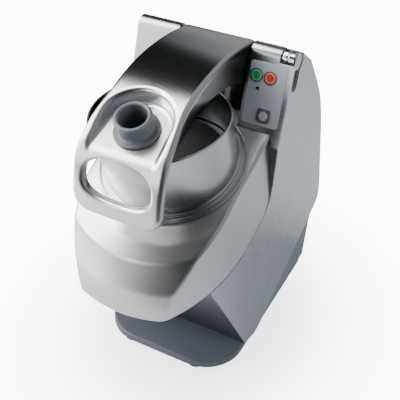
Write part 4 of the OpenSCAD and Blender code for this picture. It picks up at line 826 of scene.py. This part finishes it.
def make_pulse_button():
    """A square key with a pale round face, a thin ring round that and a plain round sign on it."""
    key, at = ("pulse_body", "pulse_grey"), BUTTONS["pulse"]
    square = squared(1.0, 0.82)
    face = np.vstack([[(0, 2.4), (6.6, 2.4)], arc(6.2, 2.9, 0.4, 0, 90, 5), [(0, 3.2)]])
    on_face("pulse_cap", *key, at, key_cap(10.6, 9.2, (6.4, 2.9), (0, 2.8)), bezel_finish, ("pulse_button",), square)
    on_face("pulse_face", *key, at, face, pulse_finish)
    on_face("pulse_ring", *key, at, band(5.5, 6.1, 3.0, 3.4, 0.1), pulse_line)
    on_face("pulse_mark", *key, at, band(1.6, 2.5, 3.0, 3.35, 0.1), pulse_blue)
    on_face("pulse_bezel", "casing", "panel_film", at, band(9.3, 10.3, 1.4, 2.2), bezel_finish, shape=square)


make_round_button("start", "start_body", "start_green", start_finish, start_pale)
make_round_button("stop", "stop_body", "stop_red", stop_finish, stop_pale)
on_face("stop_mark", "stop_body", "stop_red", BUTTONS["stop"], band(2.6, 4.0, 2.5, 3.0, 0.12), stop_dark)
on_face("start_mark", "start_body", "start_green", BUTTONS["start"],
        [(0, 2.5), (1, 2.5), (1, 2.98), (0.8, 3.05), (0, 3.05)], start_dark, shape=bar)
make_pulse_button()
on_face("status_window", "casing", "lens_dark", BUTTONS["lens"],
        np.vstack([[(0, -2.0), (2.1, -2.0), (2.1, 1.5)], arc(1.9, 1.8, 0.25, 0, 90, 4), [(0, 2.05)]]),
        black_gloss, ("status_lens",), squared(1.05, 0.5))

# ---------------------------------------------------------------- base

BASE_FRONT, BASE_REAR, BASE_HALF, BASE_R, BASE_BACK_R = -49.0 + AXIS_Y, 288.0 + AXIS_Y, 118.0, 66.0, 16.0
BASE_TOP, TRAY_TOP, CORNER_STEPS = 16.0, 8.0, 28


def make_base():
    """The base plate: loops of its plan, a rectangle with large front and small rear corners, each inset by its own
    amount at its own height, joined into a shell with a rounded upper edge. Below, a hollow tray."""
    def loop(inset):
        front, back = BASE_R - inset, BASE_BACK_R - inset
        corners = [(BASE_HALF - BASE_R, BASE_FRONT + BASE_R, front, -90, 0),
                   (BASE_HALF - BASE_BACK_R, BASE_REAR - BASE_BACK_R, back, 0, 90),
                   (-BASE_HALF + BASE_BACK_R, BASE_REAR - BASE_BACK_R, back, 90, 180),
                   (-BASE_HALF + BASE_R, BASE_FRONT + BASE_R, front, 180, 270)]
        return np.vstack([arc(*corner, CORNER_STEPS) for corner in corners])

    edge = arc(3.2, BASE_TOP - 3.2, 3.2, 180, 90, 9)
    rows = np.vstack([[(5.2, TRAY_TOP), (5.2, 4.3), (4.9, 4.0), (0.4, 4.0), (0.0, 4.4)], edge, [(8, BASE_TOP)]])
    n, m = len(rows), 4 * CORNER_STEPS
    loops = [np.column_stack([loop(inset), np.full(m, z)]) for inset, z in rows]
    points = np.vstack(loops + [[(0, 40.0, BASE_TOP)], [(0, 40.0, TRAY_TOP)]])
    here, there = around(m)
    faces = [grid_faces(n, m, False, True, flip=True),
             np.stack([np.full(m, n * m), (n - 1) * m + here, (n - 1) * m + there], -1),
             np.stack([np.full(m, n * m + 1), there, here], -1)]
    return mesh_piece("base_tray", "casing", points, faces, base_finish, ("base_plate",))


make_base()

# ---------------------------------------------------------------- studio

def toward(azimuth, elevation):
    """A unit vector: azimuth from the front (-Y) to the right (+X), elevation up."""
    a, e = math.radians(azimuth), math.radians(elevation)
    return (math.sin(a) * math.cos(e), -math.cos(a) * math.cos(e), math.sin(e))


def look(location, target, roll=0.0):
    """A turn that faces -Z from one point to another, with +Y up."""
    back = (Vector(location) - Vector(target)).normalized()
    right = Vector((0, 0, 1)).cross(back).normalized()
    up = back.cross(right)
    c, s = math.cos(roll), math.sin(roll)
    return Matrix((right * c + up * s, up * c - right * s, back)).transposed().to_4x4()


def soft_box(name, location, size, power, color=(1, 1, 1)):
    """A lamp with a wide rectangular face, in metres, that points at the middle of the machine."""
    light = bpy.data.lights.new(name, "AREA")
    light.shape = "RECTANGLE"
    light.size, light.size_y = size
    light.energy = power
    light.color = color
    lamp = bpy.data.objects.new(name, light)
    lamp.matrix_world = Matrix.Translation(location) @ look(location, (0, 0, 0.3))
    bpy.context.scene.collection.objects.link(lamp)
    return lamp


# The camera that was fitted to the photo: its focal length in pixels of a 400 pixel picture, its place and its turn
FOCAL_PIXELS, PICTURE_PIXELS, SENSOR = 748.59, 400, 36
camera = bpy.data.cameras.new("camera")
camera.sensor_width = SENSOR
camera.lens = FOCAL_PIXELS * SENSOR / PICTURE_PIXELS
eye = bpy.data.objects.new("camera", camera)
bpy.context.scene.collection.objects.link(eye)
eye_place = Vector((436.69, -763.83 + AXIS_Y, 958.92)) * MM
eye.matrix_world = Matrix.Translation(eye_place) @ look(eye_place, eye_place - Vector(toward(27.17, 37.29)),
                                                        math.radians(1.18))
bpy.context.scene.camera = eye

# To the camera the floor shines white, with a painted soft shadow round the machine. What lights and mirrors meet
# is a floor with painted light and shade: white at the left, grey at the right and nearly black in the front right
# corner, and a painted glow at the left front
floor_finish = Finish("floor_white", Roughness=0.95, Emission_Strength=12.0)
cloudy = floor_finish.noise(2.0, 2.0)
seen = floor_finish.node("ShaderNodeLightPath", {})
# Painted soft shadow round the machine, in the glow that the camera sees
painted_shadow_place = floor_finish.node("ShaderNodeMapping", {}, Vector=floor_finish.place, Location=(-0.02, 0.03, 0),
                                 Scale=(2.9, 2.5, 1))
out_of_painted_shadow = rise(floor_finish, length_of(floor_finish, painted_shadow_place), 0.25, 1.25)
backdrop_painted_shadow = floor_finish.color(out_of_painted_shadow, (0.20, 0.215, 0.245), (1, 1, 1))
# Painted glow at the left front, which only lights and mirrors see
painted_glow_place = floor_finish.node("ShaderNodeVectorMath", {"operation": "SUBTRACT"}, floor_finish.place,
                                (-1.0, -0.62, 0))
painted_glow = floor_finish.color(rise(floor_finish, length_of(floor_finish, painted_glow_place), 0.75, 0.30), (0, 0, 0),
                                 (0.16, 0.16, 0.162))
# Painted light and shade in the floor's colour: white at the left, grey at the right, nearly black in the front right
# corner
to_right = rise(floor_finish, axis_of(floor_finish, 0), -0.45, 0.25)
to_painted_dark_corner = rise(floor_finish, axis_of(floor_finish, 0) - axis_of(floor_finish, 1), 0.50, 1.15)
painted_grey_floor = floor_finish.color(cloudy, (0.58, 0.60, 0.63), (0.60, 0.615, 0.64))
painted_lit_floor = floor_finish.color(to_right, (0.95, 0.95, 0.95), painted_grey_floor)
floor_finish.feed(Base_Color=floor_finish.color(to_painted_dark_corner, painted_lit_floor, (0.03, 0.032, 0.035)),
                  Emission_Color=floor_finish.color(seen, painted_glow, backdrop_painted_shadow))
mesh = bpy.data.meshes.new("floor")
half_floor = 6.0
mesh.from_pydata([(x * half_floor, y * half_floor, 0) for x, y in ((-1, -1), (1, -1), (1, 1), (-1, 1))], [],
                 [(0, 1, 2, 3)])
mesh.materials.append(floor_finish.material)
floor = bpy.data.objects.new("floor", mesh)
bpy.context.scene.collection.objects.link(floor)

world = bpy.data.worlds.new("studio")
bpy.context.scene.world = world
world.use_nodes = True


class Sky(Finish):
    """The world's nodes, written in the same way."""

    def __init__(self, world):
        self.tree = world.node_tree
        self.shader = self.tree.nodes["Background"]
        self.place = Link(self, self.tree.nodes.new("ShaderNodeTexCoord").outputs["Generated"])


sky = Sky(world)
# The room's light that the steel mirrors: an even grey with a bright patch low at the front left, and dark ones at
# the rear left, high in front and low at the front right. Each has its azimuth and elevation, the degrees from there
# at which it starts to fade and is gone, and its colour. To the camera itself the backdrop is white
GREY = (0.42, 0.435, 0.455)
PATCHES = [
    ((310, 8), 25, 50, (3.2, 3.22, 3.25)),
    ((236, 16), 20, 34, (0.03, 0.034, 0.038)),
    ((234, 38), 21, 28, (0.002, 0.004, 0.006)),
    ((8, 54), 22, 42, (0.09, 0.095, 0.10)),
    ((38, 12), 16, 38, (0.010, 0.013, 0.016)),
]


def patch(direction, inner, outer):
    """A factor that is 1 within a number of degrees of a direction and falls smoothly to 0 at another."""
    dot = sky.node("ShaderNodeVectorMath", {"operation": "DOT_PRODUCT"}, sky.place, direction, out=1)
    return rise(sky, dot, math.cos(math.radians(outer)), math.cos(math.radians(inner)))


tone = GREY
for direction, inner, outer, value in PATCHES:
    tone = sky.color(patch(toward(*direction), inner, outer), tone, value)
backdrop = sky.node("ShaderNodeLightPath", {})
sky.feed(Color=sky.color(backdrop, tone, (12.0, 12.0, 12.0)), Strength=0.85)

soft_box("left_soft", (-1.5, -0.6, 1.3), (1.4, 1.4), 44)
soft_box("top_soft", (-0.97, -0.35, 2.24), (1.2, 1.2), 36)
soft_box("right_soft", (1.9, -0.3, 0.9), (1.0, 1.6), 34, (0.95, 0.975, 1.0)).visible_glossy = False
